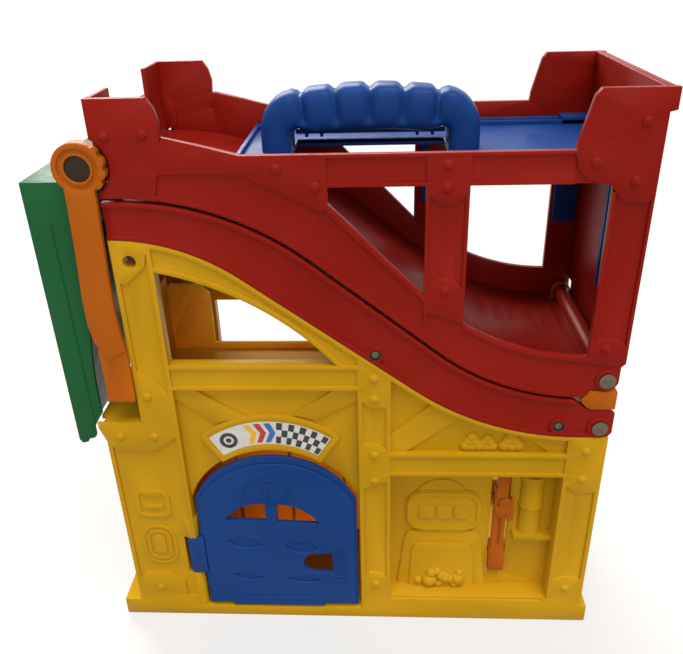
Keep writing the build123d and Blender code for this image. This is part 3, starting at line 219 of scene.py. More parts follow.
def new_material(name):
    material = bpy.data.materials.new(name)
    material.use_nodes = True
    tree = material.node_tree
    tree.nodes.clear()
    output = tree.nodes.new("ShaderNodeOutputMaterial")
    shader = tree.nodes.new("ShaderNodeBsdfPrincipled")
    tree.links.new(shader.outputs["BSDF"], output.inputs["Surface"])
    return material, tree, shader


def noise(tree, scale, detail, roughness=0.5, stretch=None):
    coordinates = tree.nodes.new("ShaderNodeTexCoord").outputs["Object"]
    texture = tree.nodes.new("ShaderNodeTexNoise")
    texture.inputs["Scale"].default_value = scale
    texture.inputs["Detail"].default_value = detail
    texture.inputs["Roughness"].default_value = roughness
    if stretch:
        mapping = tree.nodes.new("ShaderNodeMapping")
        mapping.inputs["Scale"].default_value = stretch
        mapping.inputs["Rotation"].default_value = SCUFF_TURN
        tree.links.new(coordinates, mapping.inputs["Vector"])
        coordinates = mapping.outputs["Vector"]
    tree.links.new(coordinates, texture.inputs["Vector"])
    return texture.outputs["Fac"]


def ramp(tree, source, low, high, low_value, high_value):
    node = tree.nodes.new("ShaderNodeMapRange")
    node.inputs["From Min"].default_value = low
    node.inputs["From Max"].default_value = high
    node.inputs["To Min"].default_value = low_value
    node.inputs["To Max"].default_value = high_value
    tree.links.new(source, node.inputs["Value"])
    return node.outputs["Result"]


def tinted(tree, factor, first, second):
    """Mix two colours. The first is three numbers or another node's colour."""
    mix = tree.nodes.new("ShaderNodeMix")
    mix.data_type = "RGBA"
    if isinstance(first, bpy.types.NodeSocket):
        tree.links.new(first, mix.inputs["A"])
    else:
        mix.inputs["A"].default_value = (*first, 1)
    mix.inputs["B"].default_value = (*second, 1)
    tree.links.new(factor, mix.inputs["Factor"])
    return mix.outputs["Result"]


def surface_relief(tree, shader, height, strength, distance):
    bump = tree.nodes.new("ShaderNodeBump")
    bump.inputs["Strength"].default_value = strength
    bump.inputs["Distance"].default_value = distance
    tree.links.new(height, bump.inputs["Height"])
    tree.links.new(bump.outputs["Normal"], shader.inputs["Normal"])


def shaded(colour, share, lift=0.0):
    """The colour made darker or lighter, never past full."""
    return [min(1, c * share + lift) for c in colour]


def moulded_plastic(name, colour, roughness, gloss, glow):
    """Glossy moulded plastic with flow marks, fine scratches and a faint orange peel."""
    material, tree, shader = new_material(name)
    flow = ramp(tree, noise(tree, FLOW_SCALE, 2), 0.3, 0.7, 0, 1)
    base = tinted(tree, flow, shaded(colour, 0.88), shaded(colour, 1.05, 0.004))
    scratches = noise(tree, SCUFF_SCALE, 6, 0.7, SCUFF_STRETCH)
    scuffs = ramp(tree, scratches, 0.56, 0.72, 0, SCUFF_SHARE)
    worn = tinted(tree, scuffs, base, shaded(colour, 1.05, 0.03))
    tree.links.new(worn, shader.inputs["Base Color"])
    rough = ramp(tree, noise(tree, DULL_SCALE, 5, 0.65), 0.35, 0.75,
                 roughness - 0.05, roughness + 0.12)
    tree.links.new(rough, shader.inputs["Roughness"])
    surface_relief(tree, shader, noise(tree, PEEL_SCALE, 2), 0.10, 0.0003)
    shader.inputs["IOR"].default_value = PLASTIC_IOR
    shader.inputs["Specular IOR Level"].default_value = gloss
    if glow:
        shader.inputs["Subsurface Weight"].default_value = glow
        shader.inputs["Subsurface Radius"].default_value = GLOW_RADIUS
        shader.inputs["Subsurface Scale"].default_value = GLOW_DEPTH
    return material


def turned_steel(name, colour):
    """Plated steel with fine turning marks and small dull patches."""
    material, tree, shader = new_material(name)
    patches = ramp(tree, noise(tree, PLATING_SCALE, 4), 0.35, 0.7, 0, 1)
    tree.links.new(tinted(tree, patches, shaded(colour, 0.72), colour),
                   shader.inputs["Base Color"])
    rough = ramp(tree, noise(tree, PLATING_DULL_SCALE, 4), 0.3, 0.7, 0.28, 0.5)
    tree.links.new(rough, shader.inputs["Roughness"])
    surface_relief(tree, shader, noise(tree, TURNING_SCALE, 2), 0.25, 0.0001)
    shader.inputs["Metallic"].default_value = 1.0
    return material


def printed_film(name, colour):
    """Printed label film with a light sheen."""
    material, tree, shader = new_material(name)
    grain = ramp(tree, noise(tree, FILM_GRAIN_SCALE, 4), 0.3, 0.7, 0, 1)
    tree.links.new(tinted(tree, grain, shaded(colour, 0.9), shaded(colour, 1.06)),
                   shader.inputs["Base Color"])
    rough = ramp(tree, noise(tree, FILM_DULL_SCALE, 3), 0.3, 0.7, 0.28, 0.42)
    tree.links.new(rough, shader.inputs["Roughness"])
    return material


def library_material(name, maker, *values):
    return bpy.data.materials.get(name) or maker(name, *values)


def plastic(colour_name):
    settings = bpy.context.scene.toy_garage_plastic
    return library_material(
        f"{colour_name} moulded plastic", moulded_plastic,
        tuple(getattr(settings, colour_name)), settings.roughness, settings.gloss,
        settings.glow if colour_name == "amber" else 0.0)


def steel():
    colour = tuple(bpy.context.scene.toy_garage_plastic.steel)
    return library_material("plated steel", turned_steel, colour)


def film(name, colour):
    return library_material(name, printed_film, tuple(colour))


# Mesh helpers

def add_piece(name, bm, body, material, angle=32):
    """Make a piece of the mesh, with edges sharp above the angle in degrees."""
    mesh = bpy.data.meshes.new(name)
    bmesh.ops.recalc_face_normals(bm, faces=bm.faces)
    bm.to_mesh(mesh)
    bm.free()
    mesh.shade_smooth()
    mesh.set_sharp_from_angle(angle=math.radians(angle))
    mesh.materials.append(material)
    piece = bpy.data.objects.new(name, mesh)
    bpy.context.scene.collection.objects.link(piece)
    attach(piece, body)
    return piece


SMOOTH_ANGLE, ROUNDED_ANGLE = 28, 38
WELD_DISTANCE = 0.000002


def dress_node(name, material, radius):
    """Give a CAD node its material and rounded edges."""
    node = nodes[name]
    node.data.materials.clear()
    node.data.materials.append(material)
    for polygon in node.data.polygons:
        polygon.material_index = 0
    node.data.shade_smooth()
    node.data.set_sharp_from_angle(angle=math.radians(SMOOTH_ANGLE))
    if radius > 0:
        weld = node.modifiers.new("Weld", "WELD")
        weld.merge_threshold = WELD_DISTANCE
        bevel = node.modifiers.new("Rounded edges", "BEVEL")
        bevel.width = radius
        bevel.segments = 2
        bevel.limit_method = "ANGLE"
        bevel.angle_limit = math.radians(ROUNDED_ANGLE)
        bevel.harden_normals = True
        bevel.use_clamp_overlap = True
        bevel.loop_slide = False
        bevel.miter_outer = "MITER_ARC"


def round_angles(count):
    return [math.tau * i / count for i in range(count)]


def ring(bm, x, y, z, radius, segments):
    """Vertices round a circle that faces the front."""
    return [bm.verts.new((x + radius * math.cos(a), y, z + radius * math.sin(a)))
            for a in round_angles(segments)]


def bridge(bm, first, second):
    """Faces between two closed loops of as many vertices."""
    for i in range(len(first)):
        j = (i + 1) % len(first)
        bm.faces.new((first[i], first[j], second[j], second[i]))


def dome(bm, centre, radius, height, rings=5, segments=24, foot=0.0):
    """A low dome that stands out of the front, on a straight foot where one is asked for."""
    x, y, z = centre
    rows = []
    for i in range(rings):
        angle = math.pi / 2 * i / rings
        rows.append(ring(bm, x, y - height * math.sin(angle), z,
                         radius * math.cos(angle), segments))
    top = bm.verts.new((x, y - height, z))
    if foot:
        rows.insert(0, [bm.verts.new((v.co.x, y + foot, v.co.z)) for v in rows[0]])
    for lower, upper in zip(rows, rows[1:]):
        bridge(bm, lower, upper)
    for i in range(segments):
        bm.faces.new((rows[-1][i], rows[-1][(i + 1) % segments], top))
    bm.faces.new(rows[0][::-1])


def slab(bm, outline, y, thickness):
    """A flat shape from front-view points, with its back at y."""
    back = [bm.verts.new((x, y, z)) for x, z in outline]
    front = [bm.verts.new((x, y - thickness, z)) for x, z in outline]
    bm.faces.new(back)
    bm.faces.new(front[::-1])
    bridge(bm, back, front)


def flat_ring(bm, x, z, y, inner, outer, thickness, segments=40):
    """A flat ring seen from the front, with its face at y."""
    loops = [ring(bm, x, y + depth, z, radius, segments)
             for radius, depth in ((inner, thickness), (inner, 0), (outer, 0),
                                   (outer, thickness))]
    for first, second in zip(loops, loops[1:] + loops[:1]):
        bridge(bm, first, second)


def arc_through(a, b, c, count):
    """Points on the circle through a, b and c, from a by way of b to c."""
    (ax, az), (bx, bz), (cx, cz) = a, b, c
    a_square, b_square, c_square = (x ** 2 + z ** 2 for x, z in (a, b, c))
    d = 2 * (ax * (bz - cz) + bx * (cz - az) + cx * (az - bz))
    ux = (a_square * (bz - cz) + b_square * (cz - az) + c_square * (az - bz)) / d
    uz = (a_square * (cx - bx) + b_square * (ax - cx) + c_square * (bx - ax)) / d
    radius = math.hypot(ax - ux, az - uz)
    start, middle, end = (math.atan2(z - uz, x - ux) for x, z in (a, b, c))
    if (middle - start) % math.tau < (end - start) % math.tau:
        turn = (end - start) % math.tau
    else:
        turn = -((start - end) % math.tau)
    angles = [start + turn * i / count for i in range(count + 1)]
    return [(ux + radius * math.cos(t), uz + radius * math.sin(t)) for t in angles]


def ellipse(x, z, half_width, half_tall, count=40):
    return [(x + half_width * math.cos(a), z + half_tall * math.sin(a))
            for a in round_angles(count)]


def rectangle(x0, z0, x1, z1):
    return [(x0, z0), (x1, z0), (x1, z1), (x0, z1)]


def arched(left, right, low, spring, top):
    """A door outline: straight sides under one arc."""
    arc = arc_through((right, spring), ((left + right) / 2, top), (left, spring), 40)
    return [(right, low)] + arc + [(left, low)]


def lens(x, z, half_width, half_tall, turn):
    """A lens outline between two arcs, turned clockwise by so many degrees."""
    upper = arc_through((-half_width, 0), (0, half_tall), (half_width, 0), 16)
    lower = arc_through((half_width, 0), (0, -half_tall), (-half_width, 0), 16)
    c, s = math.cos(math.radians(turn)), math.sin(math.radians(turn))
    return [(x + u * c + v * s, z - u * s + v * c) for u, v in upper + lower[1:-1]]


def mirrored(bm):
    """Add the same geometry on the back side."""
    copy = bmesh.ops.duplicate(bm, geom=list(bm.verts) + list(bm.edges) + list(bm.faces))
    for vertex in (g for g in copy["geom"] if isinstance(g, bmesh.types.BMVert)):
        vertex.co.y = -vertex.co.y


def panel_mesh(outlines, front, thickness, bevel, flat=False):
    """A filled panel with rounded edges, from an outline and its holes in millimetres.

    It faces the front with its face at front, or lies flat with its top there.
    """
    curve = bpy.data.curves.new("panel outline", "CURVE")
    curve.dimensions = "2D"
    curve.fill_mode = "BOTH"
    for outline in outlines:
        spline = curve.splines.new("POLY")
        spline.points.add(len(outline) - 1)
        spline.use_cyclic_u = True
        for point, (x, z) in zip(spline.points, outline):
            point.co = (x, z, 0, 1)
    curve.bevel_depth = bevel
    curve.offset = -bevel
    curve.bevel_resolution = 2
    curve.extrude = thickness / 2 - bevel
    holder = bpy.data.objects.new("panel outline", curve)
    mesh = bpy.data.meshes.new_from_object(holder)
    bpy.data.objects.remove(holder)
    bpy.data.curves.remove(curve)
    for vertex in mesh.vertices:
        x, z, depth = vertex.co
        if flat:
            vertex.co = Vector((x, z, front - thickness / 2 + depth)) * MM
        else:
            vertex.co = Vector((x, front + thickness / 2 - depth, z)) * MM
    return mesh


def add_panel(bm, *panel, **kind):
    mesh = panel_mesh(*panel, **kind)
    bm.from_mesh(mesh)
    bpy.data.meshes.remove(mesh)


def add_box(bm, low, high, bevel):
    """A bar with rounded edges between two corners in millimetres."""
    made = bmesh.ops.create_cube(bm, size=1)["verts"]
    low, high = Vector(low), Vector(high)
    for vertex in made:
        place = [(a + b) / 2 + (b - a) * c for a, b, c in zip(low, high, vertex.co)]
        vertex.co = Vector(place) * MM
    edges = list({edge for vertex in made for edge in vertex.link_edges})
    bmesh.ops.bevel(bm, geom=edges, offset=bevel * MM, segments=2, profile=0.5,
                    affect="EDGES")


# Plastic and steel of the CAD nodes

STEEL_EDGE_SHARE = 0.4


class GARAGE_OT_plastic(bpy.types.Operator):
    """Give every CAD node its plastic or steel and rounded edges"""
    bl_idname = "garage.plastic"
    bl_label = "Finish Moulded Parts"

    def execute(self, context):
        radius = context.scene.toy_garage_plastic.edge_radius
        for colour, names in PLASTIC_NODES.items():
            for name in names:
                dress_node(name, plastic(colour), radius)
        for name in STEEL_NODES:
            dress_node(name, steel(), radius * STEEL_EDGE_SHARE)
        return {"FINISHED"}


# Handle

HANDLE_LEFT, HANDLE_RIGHT, HANDLE_MIDDLE = -43.5, 77.5, 17.0
HANDLE_FOOT, HANDLE_TOP, HANDLE_RISE = 355.0, 381.0, 3.2
FOOT_HALF_WIDTH, GRIP_SWELL, GRIP_HALF_DEPTH = 10.4, 1.4, 13.9
GRIP_SQUARENESS = 0.55
GRIP_START, GRIP_EASE = 368, 10
GROOVE_WIDTH = 2.7
PALM_DEPTH, PALM_REACH, PALM_EASE = 4.6, 48.5, 12


def handle_spine(corner, samples):
    """Points along the middle of the handle, foot to foot."""
    straight = HANDLE_TOP - corner - HANDLE_FOOT
    bends = [math.pi / 2 * i / samples for i in range(samples + 1)]
    points = [(HANDLE_LEFT, HANDLE_FOOT + straight * i / samples)
              for i in range(samples + 1)]
    points += [(HANDLE_LEFT + corner - corner * math.cos(a),
                HANDLE_TOP - corner + corner * math.sin(a)) for a in bends[1:]]
    span = HANDLE_RIGHT - HANDLE_LEFT - 2 * corner
    for share in (i / (7 * samples) for i in range(1, 7 * samples)):
        points.append((HANDLE_LEFT + corner + span * share,
                       HANDLE_TOP + HANDLE_RISE * math.sin(math.pi * share)))
    points += [(HANDLE_RIGHT - corner + corner * math.cos(a),
                HANDLE_TOP - corner + corner * math.sin(a)) for a in reversed(bends)]
    points += [(HANDLE_RIGHT, HANDLE_TOP - corner - straight * i / samples)
               for i in range(1, samples + 1)]
    return points


def rounded_square(angle):
    """The cosine and sine of an angle, pushed out towards a square."""
    return [math.copysign(abs(value) ** GRIP_SQUARENESS, value)
            for value in (math.cos(angle), math.sin(angle))]


def limited(share):
    return min(1.0, max(0.0, share))


class GARAGE_OT_handle(bpy.types.Operator):
    """Model the carrying handle with its finger lobes"""
    bl_idname = "garage.handle"
    bl_label = "Build Handle"

    def execute(self, context):
        settings = context.scene.toy_garage_handle
        pitch, depth = settings.pitch / MM, settings.groove_depth / MM
        grooves = [HANDLE_MIDDLE + pitch * (i - (settings.lobes - 2) / 2)
                   for i in range(settings.lobes - 1)]
        spine = handle_spine(settings.corner_radius / MM, 8)
        bm = bmesh.new()
        rows = []
        for i, (x, z) in enumerate(spine):
            before, after = spine[max(0, i - 1)], spine[min(len(spine) - 1, i + 1)]
            along = (Vector(after) - Vector(before)).normalized()
            level = limited((z - GRIP_START) / GRIP_EASE)
            half = FOOT_HALF_WIDTH + GRIP_SWELL * level
            near = min(abs(x - g) for g in grooves)
            groove = math.exp(-(near / GROOVE_WIDTH) ** 2) * level
            palm = PALM_DEPTH * limited((PALM_REACH - abs(x - HANDLE_MIDDLE)) / PALM_EASE)
            row = []
            for a in round_angles(44):
                n, y = rounded_square(a)
                outer = 0.5 + 0.5 * math.tanh((math.cos(a) + 0.5) * 7)
                shrink = depth * groove * outer
                reach = n * (half - shrink + (palm if n < 0 else 0.0))
                place = (x - along.y * reach, y * (GRIP_HALF_DEPTH - shrink),
                         z + along.x * reach)
                row.append(bm.verts.new(Vector(place) * MM))
            rows.append(row)
        for lower, upper in zip(rows, rows[1:]):
            bridge(bm, lower, upper)
        bm.faces.new(rows[0])
        bm.faces.new(rows[-1][::-1])
        piece = add_piece("handle_grip", bm, "upper_section",
                          plastic("blue"), 40)
        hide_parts("carry_handle")
        return {"FINISHED"}


# Top plate and end walls

PLATE_LEFT, PLATE_RIGHT, PLATE_SIDE, PLATE_TOP = -68, 176, 70.5, 355
FINGER_OPENING = (-33, -23, 67, 23)
PLATE_EDGE_SHARE, WALL_EDGE_SHARE = 0.6, 0.5


def plate_bars():
    """Low and high corners of the rims, ridges, collars and legs of the top plate."""
    left, end, side, top = PLATE_LEFT, PLATE_RIGHT, PLATE_SIDE, PLATE_TOP
    rims = [((left, -side, top - 1), (left + 3, side, top + 3)),
            ((left, side - 5, top - 1), (end, side, top + 3)),
            ((left, side - 14, top - 1), (end, side - 11, top + 3)),
            ((end - 22, side - 14, top - 1), (end, side, top + 5)),
            ((end - 4, -side, top - 1), (end, side, top + 3))]
    collars = [((-36, -26, top - 12), (70, -23, top)),
               ((-36, 23, top - 5), (70, 25, top))]
    legs = [((end - 4, -14, top - 95), (end, -9, top - 1))]
    for y0, y1 in ((-side, 3 - side), (side - 3, side)):
        legs += [((end - 19, y0, top - 78), (end - 2, y1, top - 1)),
                 ((55, y0, top - 61), (60, y1, top - 1))]
    return rims + collars + legs


class GARAGE_OT_plate(bpy.types.Operator):
    """Model the top plate with its finger opening, rims and legs"""
    bl_idname = "garage.plate"
    bl_label = "Build Top Plate"

    def execute(self, context):
        edge = context.scene.toy_garage_door.edge / MM * PLATE_EDGE_SHARE
        bm = bmesh.new()
        outline = rectangle(PLATE_LEFT, -PLATE_SIDE, PLATE_RIGHT, PLATE_SIDE)
        add_panel(bm, [outline, rectangle(*FINGER_OPENING)], PLATE_TOP, 3, edge, flat=True)
        for low, high in plate_bars():
            add_box(bm, low, high, edge)
        piece = add_piece("top_plate_panel", bm, "upper_section",
                          plastic("blue"))
        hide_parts("top_plate")
        return {"FINISHED"}


WALL_LEFT, WALL_RIGHT, WALL_FRONT = -140.6, -138.6, -65.5
END_WALLS = (
    # name, back edge, low, high, colour, slot
    # The upper room's wall takes the orange plastic painted lighter, as painted light in the
    # interior.
    ("upper_room_wall", 16.5, 194.5, 256, "amber", "orange_plastic"),
    ("track_end_wall", 65.0, 256, 312, "red", "red_plastic"),
)


class GARAGE_OT_end_walls(bpy.types.Operator):
    """Model the thin walls that close the left end of the upper room"""
    bl_idname = "garage.end_walls"
    bl_label = "Build End Walls"

    def execute(self, context):
        edge = context.scene.toy_garage_door.edge / MM * WALL_EDGE_SHARE
        for name, back, low, high, colour, slot in END_WALLS:
            bm = bmesh.new()
            add_box(bm, (WALL_LEFT, WALL_FRONT, low), (WALL_RIGHT, back, high), edge)
            add_piece(name, bm, "base", plastic(colour))
        return {"FINISHED"}


# Door

DOOR_FACE = -74.0
DOOR_RAISED = DOOR_FACE - 0.8
DOOR_RIM = (-113, 5.5, 11, 117, 156)
DOOR_PANEL = (-110.5, 3.5, 13, 116, 150)
DOOR_HOLLOWS = (
    # x, z, half width, half height, turn
    (-79.5, 75.5, 13, 5.2, 7),
    (-36.5, 71.5, 13, 5.2, 4),
    (-79.5, 41, 12, 3.4, 8),
    (-36.5, 38.5, 12.5, 3.2, 4),
)
HOLLOW_PROFILE = ((1.02, 0.12), (0.985, 0.6), (0.93, 0.88), (0.68, 0.98), (0.3, 1.0))
HOLLOW_LEAN = 0.45
HINGE_X, HINGE_Y = -119.5, -70
KNUCKLE_RADIUS, KNUCKLE_TOP, KNUCKLE_HEIGHT = 5, 80, 35
HINGE_LUGS = ((14, 44.3, 3.6), (80.7, 97, 4.6))


def hollow(bm, outline, front, depth):
    """A hollow that sinks from an outline, deepest towards its upper edge."""
    points = [Vector(point) for point in outline]
    middle = sum(points, Vector((0, 0))) / len(points)
    reach = max(abs(point.y - middle.y) for point in points)
    deepest = middle + Vector((0, reach * HOLLOW_LEAN))
    rows = []
    for share, sunk in HOLLOW_PROFILE:
        centre = deepest if share < 1 else middle
        loop = [centre.lerp(point, share) for point in points]
        rows.append([bm.verts.new((p.x * MM, (front + depth * sunk) * MM, p.y * MM))
                     for p in loop])
    for outer, inner in zip(rows, rows[1:]):
        bridge(bm, outer, inner)
    bm.faces.new(rows[-1])


def door_openings():
    """Outlines of the two fan windows and the latch hole."""
    left_pane = arc_through((-92, 97.6), (-79, 110), (-62, 113), 14) + [(-62, 96.6)]
    right_pane = [(-53, 95.8)] + arc_through((-53, 112.8), (-37, 109), (-22, 94.6), 14)
    latch_hole = arc_through((-26.5, 64.8), (-36, 55.3), (-26.5, 45.8), 18)
    return [left_pane, right_pane, latch_hole + [(-13.5, 45.8), (-13.5, 64.8)]]


def door_reliefs():
    """Outlines of what stands out of the door, each with its thickness and rounding."""
    disc = [ellipse(-60, 125.2, 18, 11), ellipse(-60, 125.2, 16.9, 9.9)]
    figure = [(-61.2, 117), (-61.2, 130), (-63.4, 128.6), (-63.4, 129.8), (-60.6, 131.6),
              (-59, 131.6), (-59, 117)]
    figure_foot = rectangle(-64.5, 115.9, -55.7, 117.2)
    latch_rim = [(-22, 70), (-3.5, 70), (-3.5, 38.5), (-22, 38.5),
                 (-22, 39.6), (-4.6, 39.6), (-4.6, 68.9), (-22, 68.9)]
    latch_slot = [rectangle(-11.5, 41.5, -6.5, 67), rectangle(-10.3, 42.7, -7.7, 65.8)]
    kick_pad = [(-94, 11.2), (-21, 11.2), (-24.5, 20), (-90, 20)]
    return ((disc, 1.0, 0.2), ([figure], 1.0, 0.2), ([figure_foot], 1.0, 0.2),
            ([latch_rim], 1.0, 0.2), (latch_slot, 1.0, 0.25), ([kick_pad], 1.2, 0.4))


class GARAGE_OT_hinge_lugs(bpy.types.Operator):
    """Model the housing's lugs above and below the door's knuckle"""
    bl_idname = "garage.hinge_lugs"
    bl_label = "Build Hinge Lugs"

    def execute(self, context):
        bm = bmesh.new()
        for low, high, radius in HINGE_LUGS:
            outline = ellipse(HINGE_X, HINGE_Y, radius, radius, 24)
            add_panel(bm, [outline], high, high - low, 0.6, flat=True)
        add_piece("hinge_lugs", bm, "base", plastic("yellow"), 40)
        return {"FINISHED"}


class GARAGE_OT_door(bpy.types.Operator):
    """Model the arched door with its fan windows, latch hole, hollows and knuckle"""
    bl_idname = "garage.door"
    bl_label = "Build Door"

    def execute(self, context):
        settings = context.scene.toy_garage_door
        holes = door_openings()
        hollows = [lens(*numbers) for numbers in DOOR_HOLLOWS]
        bm = bmesh.new()
        add_panel(bm, [arched(*DOOR_RIM)] + holes, DOOR_FACE + 1.5, 2.5, 0.5)
        add_panel(bm, [arched(*DOOR_PANEL)] + holes + hollows, DOOR_FACE, 1.6,
                  settings.edge / MM)
        for outline in hollows:
            hollow(bm, outline, DOOR_FACE, settings.hollow_depth / MM)
        for outlines, thickness, rounding in door_reliefs():
            add_panel(bm, outlines, DOOR_RAISED, thickness, rounding)
        knuckle = [(-110.5, -75.0), (-110.5, -70.3)]
        for a in (math.pi / 2 + math.pi * i / 16 for i in range(17)):
            knuckle.append((HINGE_X + KNUCKLE_RADIUS * math.cos(a),
                            HINGE_Y + KNUCKLE_RADIUS * math.sin(a)))
        add_panel(bm, [knuckle], KNUCKLE_TOP, KNUCKLE_HEIGHT, 0.5, flat=True)
        piece = add_piece("door_panel", bm, "door_leaf", plastic("blue"))
        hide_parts("door")
        return {"FINISHED"}


# Rivets, screws and pins

BASE_RIVETS = (
    (-134, 207), (-158, 174), (-134, 174), (-150, 29), (19, 221), (19, 205),
    (19, 159), (19, 136), (19, 36), (163, 163), (163, 139), (163, 34),
)
TOP_RIVETS = (
    (-132, 381), (-110, 382), (-36, 361), (-14, 350), (62, 362), (62, 349),
    (63, 284), (168, 384), (144, 362), (167, 351), (165, 243),
)
TRACK_SCREWS = ((20, 239), (142, 184))
HEAD_HEIGHT, PIT_DEPTH = 0.8, 0.9
CROWN_SHARE, SLOT_SHARE, ARM_SHARE, PIT_SHARE = 0.72, 0.16, 0.5, 0.7
PIN_X, PIN_RADIUS = 169, 5.1
PIN_HEADS = (("lower_pin_head", 183, "base"), ("upper_pin_head", 220, "upper_section"))


class GARAGE_OT_rivets(bpy.types.Operator):
    """Model the domed rivet heads of the housing and the top section"""
    bl_idname = "garage.rivets"
    bl_label = "Build Rivets"

    def execute(self, context):
        settings = context.scene.toy_garage_fasteners
        for name, places, body, colour, on_both_sides in (
                ("housing_rivets", BASE_RIVETS, "base", "yellow", False),
                ("top_rivets", TOP_RIVETS, "upper_section", "red", True)):
            bm = bmesh.new()
            for x, z in places:
                dome(bm, (x * MM, (FRONT + 0.1) * MM, z * MM), settings.rivet_radius,
                     settings.rivet_height + 0.1 * MM)
            if on_both_sides:
                mirrored(bm)
            add_piece(name, bm, body, plastic(colour), 50)
        return {"FINISHED"}


def cross_screw(bm, x, z, y, radius):
    """A pan head with a cross recess, its top at y."""
    segments = 32
    rim = ring(bm, x, y + HEAD_HEIGHT * MM, z, radius, segments)
    crown = ring(bm, x, y, z, radius * CROWN_SHARE, segments)
    bridge(bm, rim, crown)
    slot, arm = radius * SLOT_SHARE, radius * ARM_SHARE
    cross = []
    for a in round_angles(4):
        c, s = math.cos(a), math.sin(a)
        cross += [(u * c - v * s, u * s + v * c)
                  for u, v in ((slot, -slot), (arm, -slot), (arm, slot))]
    lip = [bm.verts.new((x + u, y, z + v)) for u, v in cross]
    pit = [bm.verts.new((x + u * PIT_SHARE, y + PIT_DEPTH * MM, z + v * PIT_SHARE))
           for u, v in cross]
    bridge(bm, lip, pit)
    bm.faces.new(pit[::-1])
    edges = [bm.edges.get((loop[i], loop[(i + 1) % len(loop)]))
             for loop in (crown, lip) for i in range(len(loop))]
    bmesh.ops.triangle_fill(bm, edges=edges, use_beauty=True)


class GARAGE_OT_fasteners(bpy.types.Operator):
    """Model the screw heads in the road's cheeks, with dark rings of painted shadow round them,
    and the domed hinge pin heads
    """
    bl_idname = "garage.fasteners"
    bl_label = "Build Screws and Pins"

    def execute(self, context):
        radius = context.scene.toy_garage_fasteners.screw_radius
        heads, shadow_rings = bmesh.new(), bmesh.new()
        for x, z in TRACK_SCREWS:
            cross_screw(heads, x * MM, z * MM, (FRONT + 0.2) * MM, radius)
            # A thin dark ring of painted shadow round each screw head, where its counterbore
            # falls in shade.
            flat_ring(shadow_rings, x * MM, z * MM, (FRONT - 0.1) * MM, radius * 0.98,
                      radius * 1.3, 0.5 * MM)
        mirrored(heads)
        mirrored(shadow_rings)
        add_piece("track_screw_heads", heads, "base", steel(), 40)
        add_piece("track_screw_wells", shadow_rings, "base", plastic("grey"), 40)
        for name, z, body in PIN_HEADS:
            bm = bmesh.new()
            dome(bm, (PIN_X * MM, (FRONT - 1.0) * MM, z * MM), PIN_RADIUS * MM, 0.5 * MM,
                 rings=4, segments=40)
            mirrored(bm)
            add_piece(name, bm, body, steel(), 50)
        return {"FINISHED"}


# Bushes. Each leaf has its place and its radius.

BAY_FACE, TRUSS_FACE = -61.6, -68.9
LOW_BUSH = (
    (61, 28.5, 6.4), (60, 25, 4.2), (68, 25, 4.0), (66.5, 37, 4.0), (62.3, 35.5, 4.6),
    (72.8, 31, 5.0), (77, 29.5, 4.2), (83, 30, 5.8), (80.5, 25, 4.2), (52, 28, 3.6),
    (84, 35.5, 3.2), (70, 33, 4.6),
)
TRUSS_BUSH = (
    (-4.3, 4, 4.3), (4.3, 4, 4.3), (0, 3.4, 4.0), (-2.2, 7.6, 4.0), (2.2, 7.6, 4.0),
    (0, 11, 4.1),
)
TRUSS_BUSH_PLACES = ((86, 160, 0.98), (96.5, 160, 0.90), (113, 160, 1.1))
TRUSS_SWELL_SHARE = 0.8


def leaf(bm, x, y, z, radius, swell):
    dome(bm, (x * MM, y * MM, z * MM), radius, radius * swell, rings=6, foot=0.4 * MM)


class GARAGE_OT_bushes(bpy.types.Operator):
    """Model the low bush in the pump bay and the three small ones over its beam"""
    bl_idname = "garage.bushes"
    bl_label = "Build Bushes"

    def execute(self, context):
        settings = context.scene.toy_garage_bushes
        size = settings.leaf_scale * MM
        bay, truss = bmesh.new(), bmesh.new()
        for x, z, radius in LOW_BUSH:
            leaf(bay, x, BAY_FACE, z, radius * size, settings.swell)
        for place_x, place_z, scale in TRUSS_BUSH_PLACES:
            for x, z, radius in TRUSS_BUSH:
                leaf(truss, place_x + x * scale, TRUSS_FACE, place_z + z * scale,
                     radius * scale * size, settings.swell * TRUSS_SWELL_SHARE)
        for name, bm in (("bay_bush", bay), ("truss_bushes", truss)):
            add_piece(name, bm, "base", plastic("yellow"), 60)
        return {"FINISHED"}


# Printed sign

SIGN_FACE, FILM = -71.5 * MM, 0.15 * MM
SIGN_UPPER = ((-98, 171), (-54, 186), (-10, 171))
SIGN_LOWER = ((-87.5, 154.5), (-54, 165), (-20.5, 154.5))
SIGN_STEPS = 200
CHEQUERS_START, CHEQUERS_LENGTH = 0.56, 0.42
CHEQUERS_LOW, CHEQUERS_HEIGHT = 0.09, 0.82
CHEVRONS = (
    ("sign_chevron_amber", (0.75, 0.42, 0.01), 0.30),
    ("sign_chevron_red", (0.45, 0.03, 0.02), 0.38),
    ("sign_chevron_blue", (0.03, 0.12, 0.40), 0.46),
)
CHEVRON_SHAPE = ((0, 0.12), (0.045, 0.5), (0, 0.88), (0.05, 0.88), (0.095, 0.5), (0.05, 0.12))
WHEEL_PLACE = (0.14, 0.5)
TYRE_RADIUS, TYRE_INSIDE, HUB_RADIUS = 6.4, 3.6, 2.0


def sign_point(along, across):
    """A point on the curved sign: left to right, then bottom to top, both 0 to 1."""
    place = round(along * SIGN_STEPS)
    upper = arc_through(*SIGN_UPPER, SIGN_STEPS)[place]
    lower = arc_through(*SIGN_LOWER, SIGN_STEPS)[place]
    return [low + (high - low) * across for low, high in zip(lower, upper)]


def printed_shape(bm, outline, level=1):
    """A thin shape on the sign, from points in millimetres."""
    thickness = FILM * (0.5 if level else 1)
    slab(bm, [(x * MM, z * MM) for x, z in outline], SIGN_FACE - FILM * level, thickness)


